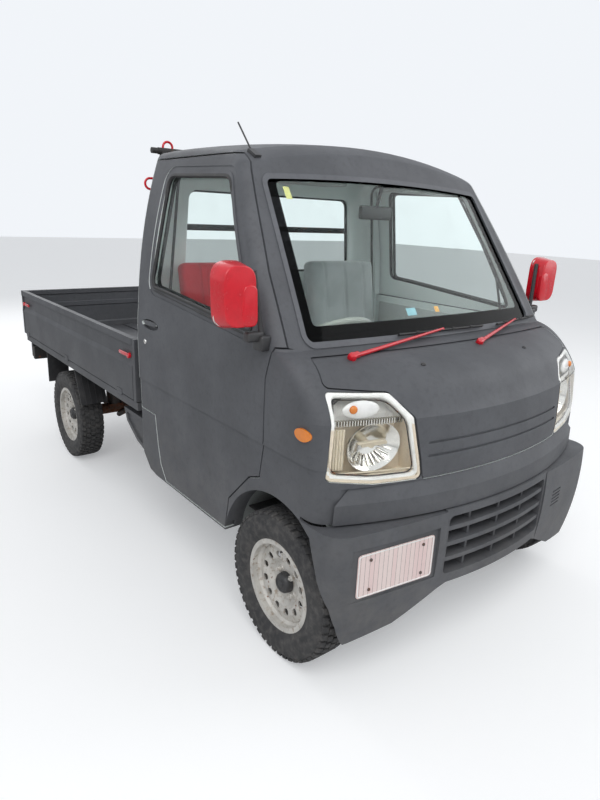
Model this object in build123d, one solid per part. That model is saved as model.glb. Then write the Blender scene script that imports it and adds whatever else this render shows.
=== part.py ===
from build123d import *
import functools
import math
import os

# Small flat-bed truck with a forward cab, drop sides and a full folding tailgate.
# The truck faces -Y, its left side is +X, up is +Z, and it stands on z = 0. Millimetres.

# Driving dimensions
LENGTH = 3395
WIDTH = 1475
WHEELBASE = 2200
TRACK = 1305
FRONT_Y = -LENGTH / 2
REAR_Y = LENGTH / 2
FRONT_AXLE_Y = FRONT_Y + 394
REAR_AXLE_Y = FRONT_AXLE_Y + WHEELBASE
WHEEL_X = TRACK / 2
HALF_W = WIDTH / 2

# Wheels: 145 R12 tyres on pressed steel 12 inch rims
TYRE_R = 268
TYRE_W = 145
HUB_BORE_R = 32
KINGPIN_X = WHEEL_X - 70
STRUT_X = WHEEL_X - 101
ARCH_R = 320
ARCH_Z = 292

# Cab
CAB_BOTTOM = 345
CAB_REAR = -228
WAIST_CREASE = 775
BELT = 1092
ROOF_BOW_R = 3038
REAR_CORNER_R = 42
ROOF_EDGE_R = 42
DOOR_SKIN = 36
DOOR_THICK = 70
FLANGE_LIP = 55
SIDE_WALL = 76
SHUT_GAP = 6
GLASS = 4
FRONT_WALL = 58
ROOF_T = 22
BACK_WALL = 26
PANEL_T = 20
PANEL_GROOVES = [(832, 5), (789, 5)]
LAMP_DEPTH = 96
LENS_T = 4
FLOOR = 430
SEAT_FRONT = -880
SEAT_BASE = 700
ARCH_IN = 415
TUNNEL_HALF = 420
HANDLE_Y = -387
HANDLE_Z = 1034
MARKER = (-1446, 875)
REAR_WINDOW = [(-500, 1225), (500, 1225), (470, 1590), (-470, 1590)]
# The body's lower rear corner behind the door: (y, z)
QUARTER_CUT = [(-426, 300), (-426, 340), (-330, 356), (-262, 420), (-236, 520), (-229, 640), (-200, 640), (-200, 300)]

# Frame under the bed
RAIL_LOW_TOP = 366
CROSS_BOTTOM = 556
CROSS_TOP = 600

# Bed
BED_FRONT = -206
BED_FLOOR = 655
GATE_TOP = 937
GATE_BOTTOM = 646
RAIL_TOP = 638
HINGE_Z = 640
HINGE_R = 4.5
GATE_OUT = 732
GATE_T = 28
HINGE_X = 733
TAIL_HINGE_R = 5
TAIL_HINGE_Y = REAR_Y - TAIL_HINGE_R

os.makedirs("parts", exist_ok=True)


def save(name, *solids):
    """Writes one node: the solids that share a name."""
    shape = solids[0] if len(solids) == 1 else Compound(children=list(solids))
    export_step(shape, f"parts/{name}.step")


def block(x0, x1, y0, y1, z0, z1):
    """A box between two corners."""
    centre = Location(((x0 + x1) / 2, (y0 + y1) / 2, (z0 + z1) / 2))
    return centre * Box(abs(x1 - x0), y1 - y0, z1 - z0)


def both(solid):
    """A solid and its mirror image across the truck's middle."""
    return [solid, mirror(solid, Plane.YZ)]


def rod(p, q, r):
    """A round bar between two points."""
    start = Vector(*p)
    axis = Vector(*q) - start
    return Solid.make_cylinder(r, axis.length, Plane(start, z_dir=axis))


def plan_wire(z, front, bow, corner, half, rear, rear_corner=REAR_CORNER_R):
    """One level of the cab: a bowed front, round corners, straight sides and a flat back."""
    corner_x = half - corner
    bow_y = front + bow
    corner_y = bow_y - math.sqrt((bow - corner) ** 2 - corner_x**2)
    ux = corner_x / (bow - corner)
    uy = (corner_y - bow_y) / (bow - corner)
    meet = (corner_x + corner * ux, corner_y + corner * uy)
    turn = math.atan2(uy, ux) / 2
    middle = (corner_x + corner * math.cos(turn), corner_y + corner * math.sin(turn))
    side = (half, corner_y)
    back = rear - rear_corner
    slack = rear_corner * (1 - math.sqrt(0.5))

    def at(p, sign=1):
        return (sign * p[0], p[1], z)

    edges = [
        ThreePointArc(at(meet, -1), (0, front, z), at(meet)),
        ThreePointArc(at(meet), at(middle), at(side)),
        Line(at(side), (half, back, z)),
        ThreePointArc((half, back, z), (half - slack, rear - slack, z), (half - rear_corner, rear, z)),
        Line((half - rear_corner, rear, z), (rear_corner - half, rear, z)),
        ThreePointArc((rear_corner - half, rear, z), (slack - half, rear - slack, z), (-half, back, z)),
        Line((-half, back, z), at(side, -1)),
        ThreePointArc(at(side, -1), at(middle, -1), at(meet, -1)),
    ]
    return Wire(edges)


# The cab's levels, from the sill to above the roof:
# (height, front face, bow radius, corner radius, half width)
SILL_LEVELS = [
    (CAB_BOTTOM, -1668, 1800, 70, 727),
    (WAIST_CREASE, -1664, 1800, 70, 731),
]
WAIST_LEVELS = [
    (WAIST_CREASE, -1664, 1800, 70, 736),
    (915, -1650, 1800, 70, 737.5),
]
NOSE_LEVELS = [
    (915, -1650, 1800, 70, 737.5),
    (990, -1604, 1800, 70, 736.5),
    (1045, -1533, 2000, 68, 734.5),
    (1074, -1440, 3200, 66, 732),
    (BELT, -1336, 8000, 64, 730.5),
]
GLASS_LEVELS = [
    (BELT, -1336, 8000, 64, 730.5),
    (1319, -1190, 7000, 60, 709),
    (1549, -1042, 5500, 55, 665),
    (1810, -873, 5000, 50, 580),
]


def crown(drop):
    """The space under the roof panel: a long arch, bowed across the cab."""
    low = 300
    front_foot = (-1800, low)
    front_top = (-1800, 1500)
    start = (-1060, 1566)
    header = (-925, 1728 - drop)
    shoulder = (-840, 1766 - drop)
    middle = (-520, 1787 - drop)
    tail = (-190, 1779 - drop)
    points = [(0, y, z) for y, z in (front_foot, front_top, start, header, shoulder, middle, tail)]
    foot, top, a, b, c, d, e = points
    outline = Polyline(foot, top, a) + ThreePointArc(a, b, c) + ThreePointArc(c, d, e)
    outline += Polyline(e, (0, tail[0], low), foot)
    axis = Axis((0, 0, shoulder[1] + drop - ROOF_BOW_R), (0, 1, 0))
    swing = 32
    return revolve(make_face(outline).rotate(axis, -swing), axis, 2 * swing)


def lofted(stacks, rear_y, side=0, front=0):
    """A form through stacks of plan levels, drawn in at its sides and front."""
    form = None
    for levels in stacks:
        wires = []
        for z, face_y, bow, corner, half in levels:
            round_r = max(corner - side, 22)
            wires.append(plan_wire(z, face_y + front, bow, round_r, half - side, rear_y))
        part = Solid.make_loft(wires)
        form = part if form is None else form.fuse(part)
    return form


@functools.lru_cache(maxsize=None)
def cab_volume(side=0, front=0, roof=0, rear=0):
    """The cab's outer form, or the same form drawn in by a wall's thickness."""
    stacks = (SILL_LEVELS, WAIST_LEVELS, NOSE_LEVELS, GLASS_LEVELS)
    return lofted(stacks, CAB_REAR - rear, side, front) & crown(roof)


def cab_outer():
    """The cab's outer form with its roof edges rounded."""
    form = cab_volume()
    rim = [e for e in form.edges() if e.center().Z > 1690 and e.length > 400]
    return fillet(rim, ROOF_EDGE_R)


def face_yz(points, radius=0):
    """A flat side-view face through (y, z) points."""
    face = make_face(Polyline(*[(0, y, z) for y, z in points], close=True))
    return fillet(face.vertices(), radius) if radius else face


def face_xz(points, radius=0):
    """A flat front-view face through (x, z) points."""
    face = make_face(Polyline(*[(x, 0, z) for x, z in points], close=True))
    return fillet(face.vertices(), radius) if radius else face


def across(face, x0, x1):
    """A side-view face run across the truck from x0 to x1."""
    return Location((x0, 0, 0)) * extrude(face, x1 - x0, dir=(1, 0, 0))


def along(face, y0, y1):
    """A front-view face run along the truck from y0 to y1."""
    return Location((0, y0, 0)) * extrude(face, y1 - y0, dir=(0, 1, 0))


def tube_x(r, y, z, x0, x1):
    """A round bar across the truck."""
    return rod((x0, y, z), (x1, y, z), r)


# Door outline in side view, from the belt at its front edge round the wheel arch to the roof: (y, z)
DOOR_OUTLINE = [
    (-1266, 1106), (-1238, 1000), (-1235, 790), (-1208, 650), (-1146, 626), (-1012, 491),
    (-985, 358), (-490, 358), (-444, 421), (-424, 506), (-404, 642), (-262, 642),
    (-262, 1694), (-880, 1694), (-948, 1648), (-1190, 1282),
]
# Side window, from its front corner along the belt: (y, z)
WINDOW_OUTLINE = [(-1150, 1129), (-517, 1186), (-392, 1194), (-412, 1632), (-876, 1620)]
# The pressed band round it, from its inner to its outer edge
WINDOW_BAND = (14, 34)
# The same outline with room ahead of the pillar, where the pillar's own edge bounds the door: (y, z)
DOOR_SKIN_OUTLINE = DOOR_OUTLINE[:12] + [(-262, 1694), (-960, 1694), (-1060, 1640), (-1360, 1230), (-1340, 1106)]
# The windscreen pillar's edge of the door in front view: (x, z)
PILLAR_EDGE = [
    (600, 300), (600, 1080), (694, 1104), (673, 1319), (629, 1549), (609, 1640), (585, 1712),
    (585, 1860), (790, 1860), (790, 300),
]


def glass_outline(inset=0):
    """The windscreen seal's outer edge in front view, or an edge inside it."""
    low, high, side_low, side_high, low_mid, high_mid = 1097, 1631, 636, 581, 1094, 1649
    edges = ThreePointArc((-side_low, 0, low), (0, 0, low_mid), (side_low, 0, low))
    edges += Line((side_low, 0, low), (side_high, 0, high))
    edges += ThreePointArc((side_high, 0, high), (0, 0, high_mid), (-side_high, 0, high))
    edges += Line((-side_high, 0, high), (-side_low, 0, low))
    face = fillet(make_face(edges).vertices(), 42)
    return offset(face, -inset) if inset else face


# Front panel between and over the lamps, right half: (x, z)
PANEL_HALF = [(384, 717), (418, 921), (484, 995), (672, 1014), (650, 1078)]
# Headlamp in front view, left lamp: (x, z)
LAMP_OUTLINE = [(391, 719), (424, 921), (482, 990), (676, 1001), (702, 744), (560, 722)]


def mirrored_outline(half):
    """A closed outline from its right half, listed from the bottom up."""
    return half + [(-x, z) for x, z in reversed(half)]


def build_cab():
    """Doors, shell, front panel, lamps, glass and floor, all cut from the cab's form."""
    outer = cab_outer()
    skin_inner = cab_volume(side=DOOR_SKIN, front=DOOR_SKIN)
    rebate = cab_volume(side=DOOR_SKIN + SHUT_GAP, front=DOOR_SKIN + SHUT_GAP)
    door_inner = cab_volume(side=DOOR_THICK, front=DOOR_THICK, rear=-60)
    room = cab_volume(side=SIDE_WALL, front=FRONT_WALL, roof=ROOF_T, rear=BACK_WALL)
    door_face = face_yz(DOOR_OUTLINE)
    skin_face = face_yz(DOOR_SKIN_OUTLINE)
    window_face = face_yz(WINDOW_OUTLINE, 34)
    pillar = along(face_xz(PILLAR_EDGE), -1700, 0)
    skin = (outer - skin_inner) & across(skin_face, 500, 800) & pillar
    thick_face = offset(door_face, -FLANGE_LIP - SHUT_GAP)
    below_belt = block(500, 800, -1400, 0, 300, 1096)
    core = (skin_inner - door_inner) & across(thick_face, 500, 800) & below_belt
    door = skin + core
    door -= across(window_face, 500, 800)
    glass_layer = cab_volume(side=16, front=16) - cab_volume(side=16 + GLASS, front=16 + GLASS)
    pane = glass_layer & across(offset(window_face, 9), 500, 800)
    door -= pane
    glass = glass_layer & across(offset(window_face, 8.6), 500, 800)
    frame_band = offset(window_face, WINDOW_BAND[1]) - offset(window_face, WINDOW_BAND[0])
    door -= (outer - cab_volume(side=3, front=3)) & across(frame_band, 500, 800)
    handle_dish = side_ellipse(HANDLE_Y, HANDLE_Z, 78, 21) - side_ellipse(HANDLE_Y, HANDLE_Z + 5, 60, 9)
    door -= (outer - cab_volume(side=14, front=14)) & across(handle_dish, 600, 800)
    for name, pieces in (("door", door), ("door_glass", glass)):
        save(f"{name}_left", pieces)
        save(f"{name}_right", mirror(pieces, Plane.YZ))

    opening = across(offset(skin_face, SHUT_GAP), 500, 800)
    opening &= along(face_xz([(x - (SHUT_GAP if x < 700 else 0), z) for x, z in PILLAR_EDGE]), -1700, 0)
    seat = opening - rebate
    way_in = across(offset(door_face, -FLANGE_LIP), 500, 800)
    panel_face = face_xz(mirrored_outline(PANEL_HALF), 12)
    panel = (outer - cab_volume(side=PANEL_T, front=PANEL_T)) & along(panel_face, -1750, -1300)
    for z, depth in PANEL_GROOVES:
        panel -= (outer - cab_volume(front=depth)) & block(-368, 368, -1750, -1300, z - 4, z + 4)
    panel_seat = along(offset(panel_face, 4), -1750, -1300) - cab_volume(side=PANEL_T, front=PANEL_T)
    lamp_face = face_xz(LAMP_OUTLINE, 14)
    lamp_room = along(offset(lamp_face, 3), -1750, -1440) - cab_volume(side=PANEL_T, front=PANEL_T)
    lamp_room += along(lamp_face, -1750, -1440) - cab_volume(side=LAMP_DEPTH, front=LAMP_DEPTH)
    shell = outer - room
    for cutter in (seat, way_in, lamp_room, panel_seat):
        shell -= cutter
    shell -= along(glass_outline(10), -1500, -760)
    shell -= along(face_xz(REAR_WINDOW, 45), CAB_REAR - 80, CAB_REAR + 10)
    arch = tube_x(ARCH_R, FRONT_AXLE_Y, ARCH_Z, -800, 800)
    shell -= arch
    shell -= block(-800, 800, -1750, BAND_END + 3, 300, 712)
    shell -= block(-800, 800, -1750, BUMPER_END + 3, 300, 600)
    shell -= across(face_yz(QUARTER_CUT), -800, 800)
    shell -= block(-TUNNEL_HALF, TUNNEL_HALF, CAB_REAR - 60, CAB_REAR + 10, 300, 412)
    left_half, right_half = both(shell & block(0, 900, -1800, 0, 200, 1900))
    save("cab_shell", left_half + right_half)
    save("front_panel", panel)

    lens = along(lamp_face, -1750, -1440) & (outer - cab_volume(side=LENS_T, front=LENS_T))
    bowl_out = cab_volume(side=LENS_T, front=LENS_T) - cab_volume(side=LAMP_DEPTH, front=LAMP_DEPTH)
    bowl = along(lamp_face, -1750, -1440) & bowl_out
    bowl_in = cab_volume(side=LENS_T, front=LENS_T) - cab_volume(side=LAMP_DEPTH - 12, front=LAMP_DEPTH - 12)
    bowl -= along(offset(lamp_face, -9), -1750, -1440) & bowl_in
    save("headlamp_lenses", *both(lens))
    save("headlamp_housings", *both(bowl))

    layer = cab_volume(front=7) - cab_volume(front=7 + GLASS)
    screen = layer & along(glass_outline(16), -1500, -760)
    save("windscreen", screen)
    ring = along(glass_outline(), -1500, -760) - along(glass_outline(18), -1500, -760)
    seal = ring & (cab_volume(front=-4) - outer)
    lip = along(glass_outline(10.2), -1500, -760) - along(glass_outline(15.8), -1500, -760)
    seal += lip & (outer - cab_volume(front=24))
    save("windscreen_seal", seal)
    rear_glass = along(offset(face_xz(REAR_WINDOW, 45), -0.3), CAB_REAR - 16, CAB_REAR - 11)
    save("rear_window", rear_glass)
    marker = side_ellipse(*MARKER, 34, 20)
    lamp = (cab_volume(side=-8) - outer) & across(marker, 600, 800)
    save("side_markers", *both(lamp))
    build_floor(room)


def side_ellipse(y, z, half_long, half_high):
    """A flat oval in side view."""
    return Plane((0, y, z), x_dir=(0, 1, 0), z_dir=(1, 0, 0)) * Ellipse(half_long, half_high)


def build_floor(room):
    """Floor pan, wheel houses and toe board, and apart from them the cover over the engine."""
    wide = HALF_W - SIDE_WALL
    pan = block(-wide, wide, -1612, SEAT_FRONT, FLOOR - 22, FLOOR)
    toe = across(face_yz([(-1612, FLOOR - 1), (-1570, FLOOR - 1), (-1590, 700), (-1612, 700)]), -wide, wide)
    cover = block(-wide, wide, SEAT_FRONT, CAB_REAR - BACK_WALL, RAIL_LOW_TOP + 2, SEAT_BASE)
    cover -= block(20 - wide, wide - 20, SEAT_FRONT + 20, CAB_REAR - BACK_WALL + 5, 300, SEAT_BASE - 20)
    save("engine_cover", cover & room)
    floor = pan + toe
    house = tube_x(ARCH_R + 14, FRONT_AXLE_Y, ARCH_Z, ARCH_IN - 12, wide)
    hollow = tube_x(ARCH_R, FRONT_AXLE_Y, ARCH_Z, ARCH_IN, 800)
    for solid in both(house):
        floor += solid
    for solid in both(hollow):
        floor -= solid
    floor -= block(-800, 800, -1700, 0, 200, CAB_BOTTOM)
    floor &= room
    save("cab_floor", floor)


# Bumper levels: (height, front face, bow radius, corner radius, half width)
GRILLE_LEVELS = [(186, -1680, 1700, 80, 716), (330, -1692, 1700, 80, 731), (598, FRONT_Y, 1700, 80, 737)]
PAD_LEVELS = [(186, -1654, 3400, 85, 716), (330, -1681, 3400, 88, 731), (592, -1687, 3400, 90, 737)]
BAND_LEVELS = [(600, -1688, 1700, 78, 737), (664, -1686, 1700, 78, 737)]
LEDGE_LEVELS = [(664, -1686, 1700, 78, 737), (711, -1662, 1700, 74, 735)]
BUMPER_WALL = 9
GRILLE_EDGE = 297
BAND_END = -1543
BUMPER_END = -1441
CHIN_HALF = [(262, 316), (300, 300), (470, 214), (640, 188), (800, 186), (800, 150)]
GRILLE_OPENING = [(-284, 352), (284, 352), (284, 572), (-284, 572)]
SLAT_Z = (408, 466, 525)
RIB_X = (-165, -10, 145)
# The lower bumper's rear edge, in front of the wheel: (y, z)
BUMPER_REAR = [
    (-1441, 592), (-1497, 555), (-1542, 425), (-1581, 338), (-1590, 268), (-1590, 150), (-1300, 150), (-1300, 592),
]
PLATE = (-498, -1649, 452)
PLATE_W = 305
PLATE_H = 152
PLATE_TURN = -7.9
PLATE_RECESS = (345, 186)
VENT_SLOTS = 5


def wrap(levels, wall, rear_y=-1380):
    """A bumper skin: the form through the levels less the same form drawn in."""
    return lofted([levels], rear_y) - lofted([levels], rear_y + 20, side=wall, front=wall)


def build_bumper():
    """Lower bumper with grille, chin and plate recess, and the band with its ledge above it."""
    middle = block(-GRILLE_EDGE, GRILLE_EDGE, -1800, -1200, 150, 620)
    opening = face_xz(GRILLE_OPENING, 20)
    centre = wrap(GRILLE_LEVELS, BUMPER_WALL) & middle
    centre += block(-250, 250, -1640, -1530, 342, 352)
    centre -= along(opening, -1750, -1300)
    deep = lofted([GRILLE_LEVELS], -1300, front=BUMPER_WALL - 2)
    deep -= lofted([GRILLE_LEVELS], -1290, front=62)
    centre += deep & (along(offset(opening, 9), -1750, -1300) - along(opening, -1750, -1300))
    slat = lofted([GRILLE_LEVELS], -1300, front=5) - lofted([GRILLE_LEVELS], -1290, front=58)
    for z in SLAT_Z:
        centre += slat & block(-285, 285, -1750, -1300, z - 8, z + 8)
    rib = lofted([GRILLE_LEVELS], -1300, front=24) - lofted([GRILLE_LEVELS], -1290, front=54)
    for x in RIB_X:
        centre += rib & block(x - 5, x + 5, -1750, -1300, 350, 574)
    sides = wrap(PAD_LEVELS, BUMPER_WALL) - middle
    pad_top = lofted([PAD_LEVELS], -1380) & block(-800, 800, -1800, -1300, 580, 592)
    sides += pad_top - middle - cab_volume()
    plate_at = Location(PLATE) * Rot(0, 0, PLATE_TURN)
    recess_w, recess_h = PLATE_RECESS
    plate_back = plate_at * Pos(0, 12, 0) * Box(recess_w + 22, 16, recess_h + 22)
    sides += plate_back & lofted([PAD_LEVELS], -1380)
    sides -= plate_at * Pos(0, -22, 0) * Box(recess_w, 60, recess_h)
    for i in range(VENT_SLOTS):
        sides -= block(372, 446, -1750, -1550, 424 + 15 * i, 431 + 15 * i)
    lower = centre + sides
    lower -= across(face_yz(BUMPER_REAR), -800, 800)
    lower -= block(-800, 800, BUMPER_END, 0, 150, 700)
    lower -= along(face_xz(mirrored_outline(CHIN_HALF)), -1800, -1300)
    band = wrap(BAND_LEVELS, BUMPER_WALL) + wrap(LEDGE_LEVELS, 34)
    band -= block(-800, 800, BAND_END, 0, 500, 800)
    save("front_bumper", lower)
    save("bumper_band", band)
    plate = Box(PLATE_W, 2, PLATE_H)
    save("license_plate", plate_at * Pos(4, 6, -6) * fillet(plate.edges().filter_by(Axis.Y), 12))


# Wheel sections: (distance from the wheel's middle plane, radius)
RIM_SECTION = [
    (-58, 166), (-54, 166), (-54, 153), (-40, 152), (-24, 140), (20, 140), (34, 152), (54, 153),
    (54, 166), (58, 166), (58, 149), (36, 148), (21, 136), (-25, 136), (-41, 148), (-58, 149),
]
DISC_SECTION = [
    (6, HUB_BORE_R), (12, HUB_BORE_R), (12, 72), (30, 88), (34, 112), (27, 137), (21, 137), (28, 111), (24, 92), (6, 76),
]
DISC_HOLES = 12
DISC_HOLE_PITCH_R = 105
DISC_HOLE_R = 13


def revolved_x(points):
    """A closed (x, radius) section turned about the X axis."""
    return revolve(make_face(Polyline(*[(x, 0, r) for x, r in points], close=True)), Axis.X, 360)


def rim():
    """Pressed steel wheel, its outer side towards +X."""
    body = revolved_x(RIM_SECTION) + revolved_x(DISC_SECTION)
    for i in range(DISC_HOLES):
        body -= Rot(360 / DISC_HOLES * (i + 0.5), 0, 0) * rod((0, 0, DISC_HOLE_PITCH_R), (60, 0, DISC_HOLE_PITCH_R), DISC_HOLE_R)
    cap = revolved_x([(12, 30), (12, 35), (34, 33), (40, 26), (40, 0), (36, 0), (36, 22), (31, 29)])
    return body + cap


# Half of the tyre's section, from the bead to the middle of the tread: (distance from the middle plane, radius)
TYRE_HALF = [(53.5, 153.3), (53.5, 167), (TYRE_W / 2, 206), (67, 246), (52, TYRE_R)]


def tyre():
    """Tyre with bulged sides and sloped shoulders."""
    return revolved_x(TYRE_HALF + [(-x, r) for x, r in reversed(TYRE_HALF)])


def build_wheels():
    """Four wheels and the spare under the bed."""
    shapes = {"rim": rim(), "tyre": tyre()}
    for kind, shape in shapes.items():
        for axle, y in (("front", FRONT_AXLE_Y), ("rear", REAR_AXLE_Y)):
            placed = Location((WHEEL_X, y, TYRE_R)) * shape
            save(f"{kind}_{axle}_left", placed)
            save(f"{kind}_{axle}_right", mirror(placed, Plane.YZ))
        save(f"spare_{kind}", Location(SPARE) * Rot(0, 90, 0) * shape)


SPARE = (0, 1290, CROSS_BOTTOM - TYRE_W / 2)
RAIL_X = 300
LINK_X = 390
SPRING_X = 420
SPRING_FOOT = 304
SPRING_HEAD = 486
MEMBER_TOP = 262
STRUT_TOP = 604
ENGINE_REAR = -330


def build_running_gear():
    """Axles, knuckles, suspension, shaft, engine, exhaust and the frame under the floor."""
    left_knuckle = rod((KINGPIN_X, FRONT_AXLE_Y, 190.5), (KINGPIN_X, FRONT_AXLE_Y, TYRE_R), 17)
    left_knuckle += rod((STRUT_X, FRONT_AXLE_Y, TYRE_R), (STRUT_X, FRONT_AXLE_Y, STRUT_TOP), 17)
    left_knuckle += rod((STRUT_X - 20, FRONT_AXLE_Y, TYRE_R), (WHEEL_X + 4, FRONT_AXLE_Y, TYRE_R), 30)
    left_knuckle += rod((WHEEL_X - 52, FRONT_AXLE_Y, TYRE_R), (WHEEL_X - 40, FRONT_AXLE_Y, TYRE_R), 112)
    left_knuckle += rod((STRUT_X, FRONT_AXLE_Y, 330), (STRUT_X, FRONT_AXLE_Y, 520), 24)
    save("knuckle_left", left_knuckle)
    save("knuckle_right", mirror(left_knuckle, Plane.YZ))

    member = block(-330, 330, FRONT_AXLE_Y - 55, FRONT_AXLE_Y + 55, 205, MEMBER_TOP)
    arm = rod((320, FRONT_AXLE_Y + 30, 232), (KINGPIN_X - 30, FRONT_AXLE_Y, 176), 14)
    arm += rod((320, FRONT_AXLE_Y - 35, 232), (KINGPIN_X - 30, FRONT_AXLE_Y, 176), 14)
    arm += rod((KINGPIN_X - 10, FRONT_AXLE_Y, 170), (KINGPIN_X - 10, FRONT_AXLE_Y, 190), 20)
    arm += rod((KINGPIN_X - 40, FRONT_AXLE_Y, 178), (KINGPIN_X - 10, FRONT_AXLE_Y, 178), 10)
    for solid in both(arm):
        member += solid
    save("front_suspension", member)

    axle = tube_x(34, REAR_AXLE_Y, TYRE_R, -WHEEL_X + 20, WHEEL_X - 20)
    axle += tube_x(30, REAR_AXLE_Y, TYRE_R, -WHEEL_X - 4, WHEEL_X + 4)
    axle += tube_x(100, REAR_AXLE_Y, TYRE_R, -60, 60)
    axle += rod((0, REAR_AXLE_Y - 190, TYRE_R), (0, REAR_AXLE_Y, TYRE_R), 42)
    for sign in (1, -1):
        axle += tube_x(114, REAR_AXLE_Y, TYRE_R, sign * (WHEEL_X - 62), sign * (WHEEL_X - 14))
        spring_x = sign * SPRING_X
        axle += block(spring_x - 46, spring_x + 46, REAR_AXLE_Y - 46, REAR_AXLE_Y + 84, 286, SPRING_FOOT)
    save("rear_axle", axle)

    links = []
    for sign in (1, -1):
        x = sign * LINK_X
        link = rod((x, 525, 400), (x, REAR_AXLE_Y, TYRE_R - 34 - 17), 17) - axle
        spring = rod((sign * SPRING_X, REAR_AXLE_Y, SPRING_FOOT), (sign * SPRING_X, REAR_AXLE_Y, SPRING_HEAD), 46)
        damper_y = REAR_AXLE_Y + 66
        damper = rod((sign * SPRING_X, damper_y, SPRING_FOOT), (sign * SPRING_X, damper_y, SPRING_HEAD), 16)
        links += [link, spring, damper]
    save("rear_suspension", *links)
    engine = block(-230, 230, -830, ENGINE_REAR, 300, 640)
    save("propshaft", rod((0, ENGINE_REAR + 2, 330), (0, REAR_AXLE_Y - 190, TYRE_R), 32) - axle - engine)
    save("engine", engine)
    save("exhaust", exhaust() - engine)
    save("chassis_frame", chassis_frame())


def exhaust():
    """Pipe from the engine to a muffler and on over the axle to the right rear."""
    front = rod((-190, ENGINE_REAR + 1, 330), (-190, 310, 390), 20)
    muffler = rod((-190, 300, 395), (-190, 640, 395), 58)
    tail = rod((-190, 630, 395), (-190, 950, 440), 20)
    tail += rod((-190, 950, 440), (-345, 1070, 440), 20)
    tail += rod((-345, 1070, 440), (-345, 1660, 440), 20)
    for corner in ((-190, 950, 440), (-345, 1070, 440)):
        tail += Location(corner) * Sphere(20)
    hangers = block(-196, -184, 550, 570, 440, CROSS_BOTTOM) + block(-351, -339, 1550, 1570, 450, CROSS_BOTTOM)
    return front + muffler + tail + hangers


def chassis_frame():
    """Two cranked rails, the cross members on them, and the seats for what they carry."""
    frame = None
    for sign in (1, -1):
        x = sign * RAIL_X
        rail = block(x - 25, x + 25, -1530, -900, 345, FLOOR - 22)
        rail += across(face_yz(RAIL_SIDE), x - 25, x + 25)
        rail += block(x - 25, x + 25, FRONT_AXLE_Y - 55, FRONT_AXLE_Y + 55, MEMBER_TOP, 350)
        for y in (-150, 220, 560):
            rail += block(x - 25, x + 25, y - 22, y + 22, 340, CROSS_BOTTOM + 2)
        rail += block(x, sign * (SPRING_X + 48), REAR_AXLE_Y - 50, REAR_AXLE_Y + 86, SPRING_HEAD, 510)
        rail += block(x, sign * (LINK_X - 17), 505, 545, 385, 440)
        for y in (-700, -430):
            rail += block(x, sign * 230, y - 30, y + 30, 310, 345)
        frame = rail if frame is None else frame + rail
    for y in CROSS_MEMBERS:
        frame += block(-660, 660, y - 22, y + 22, CROSS_BOTTOM, CROSS_TOP)
    frame += block(-300, 300, -1530, -1480, 345, FLOOR - 22)
    return frame


# A frame rail in side view: (y, z)
RAIL_SIDE = [
    (-910, 300), (-910, RAIL_LOW_TOP), (200, RAIL_LOW_TOP), (620, 560), (1600, 560), (1600, 490), (660, 490), (240, 300),
]
CROSS_MEMBERS = (-150, 220, 560, 1180, 1560)


GUARD_TOP = 1740
GUARD_BAR_HALF = 585
GUARD_STUB = 30
GUARD_STUB_R = 12
HOOK_R = 5
HOOK_BEND_R = 22
# The splash shield ahead of the rear wheel in side view: (y, z)
SHIELD_SIDE = [(607, 405), (613, 405), (700, CROSS_TOP), (694, CROSS_TOP)]
SHIELD_RIBS = (590, 622, 654, 686)
# The box below the bed behind the cab in side view: (y, z)
SIDE_BOX = [(-205, CROSS_BOTTOM), (24, CROSS_BOTTOM), (-4, 492), (-119, 423), (-205, 400)]
# A gate's pressed section: (depth behind its outer face, height)
GATE_SECTION = [
    (0, GATE_BOTTOM), (0, 806), (10, 830), (10, 900), (0, 906), (0, GATE_TOP),
    (GATE_T, GATE_TOP), (GATE_T, 908), (20, 902), (20, 852), (GATE_T, 846), (GATE_T, 820),
    (20, 814), (20, 700), (GATE_T, 690), (GATE_T, GATE_BOTTOM),
]


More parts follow.
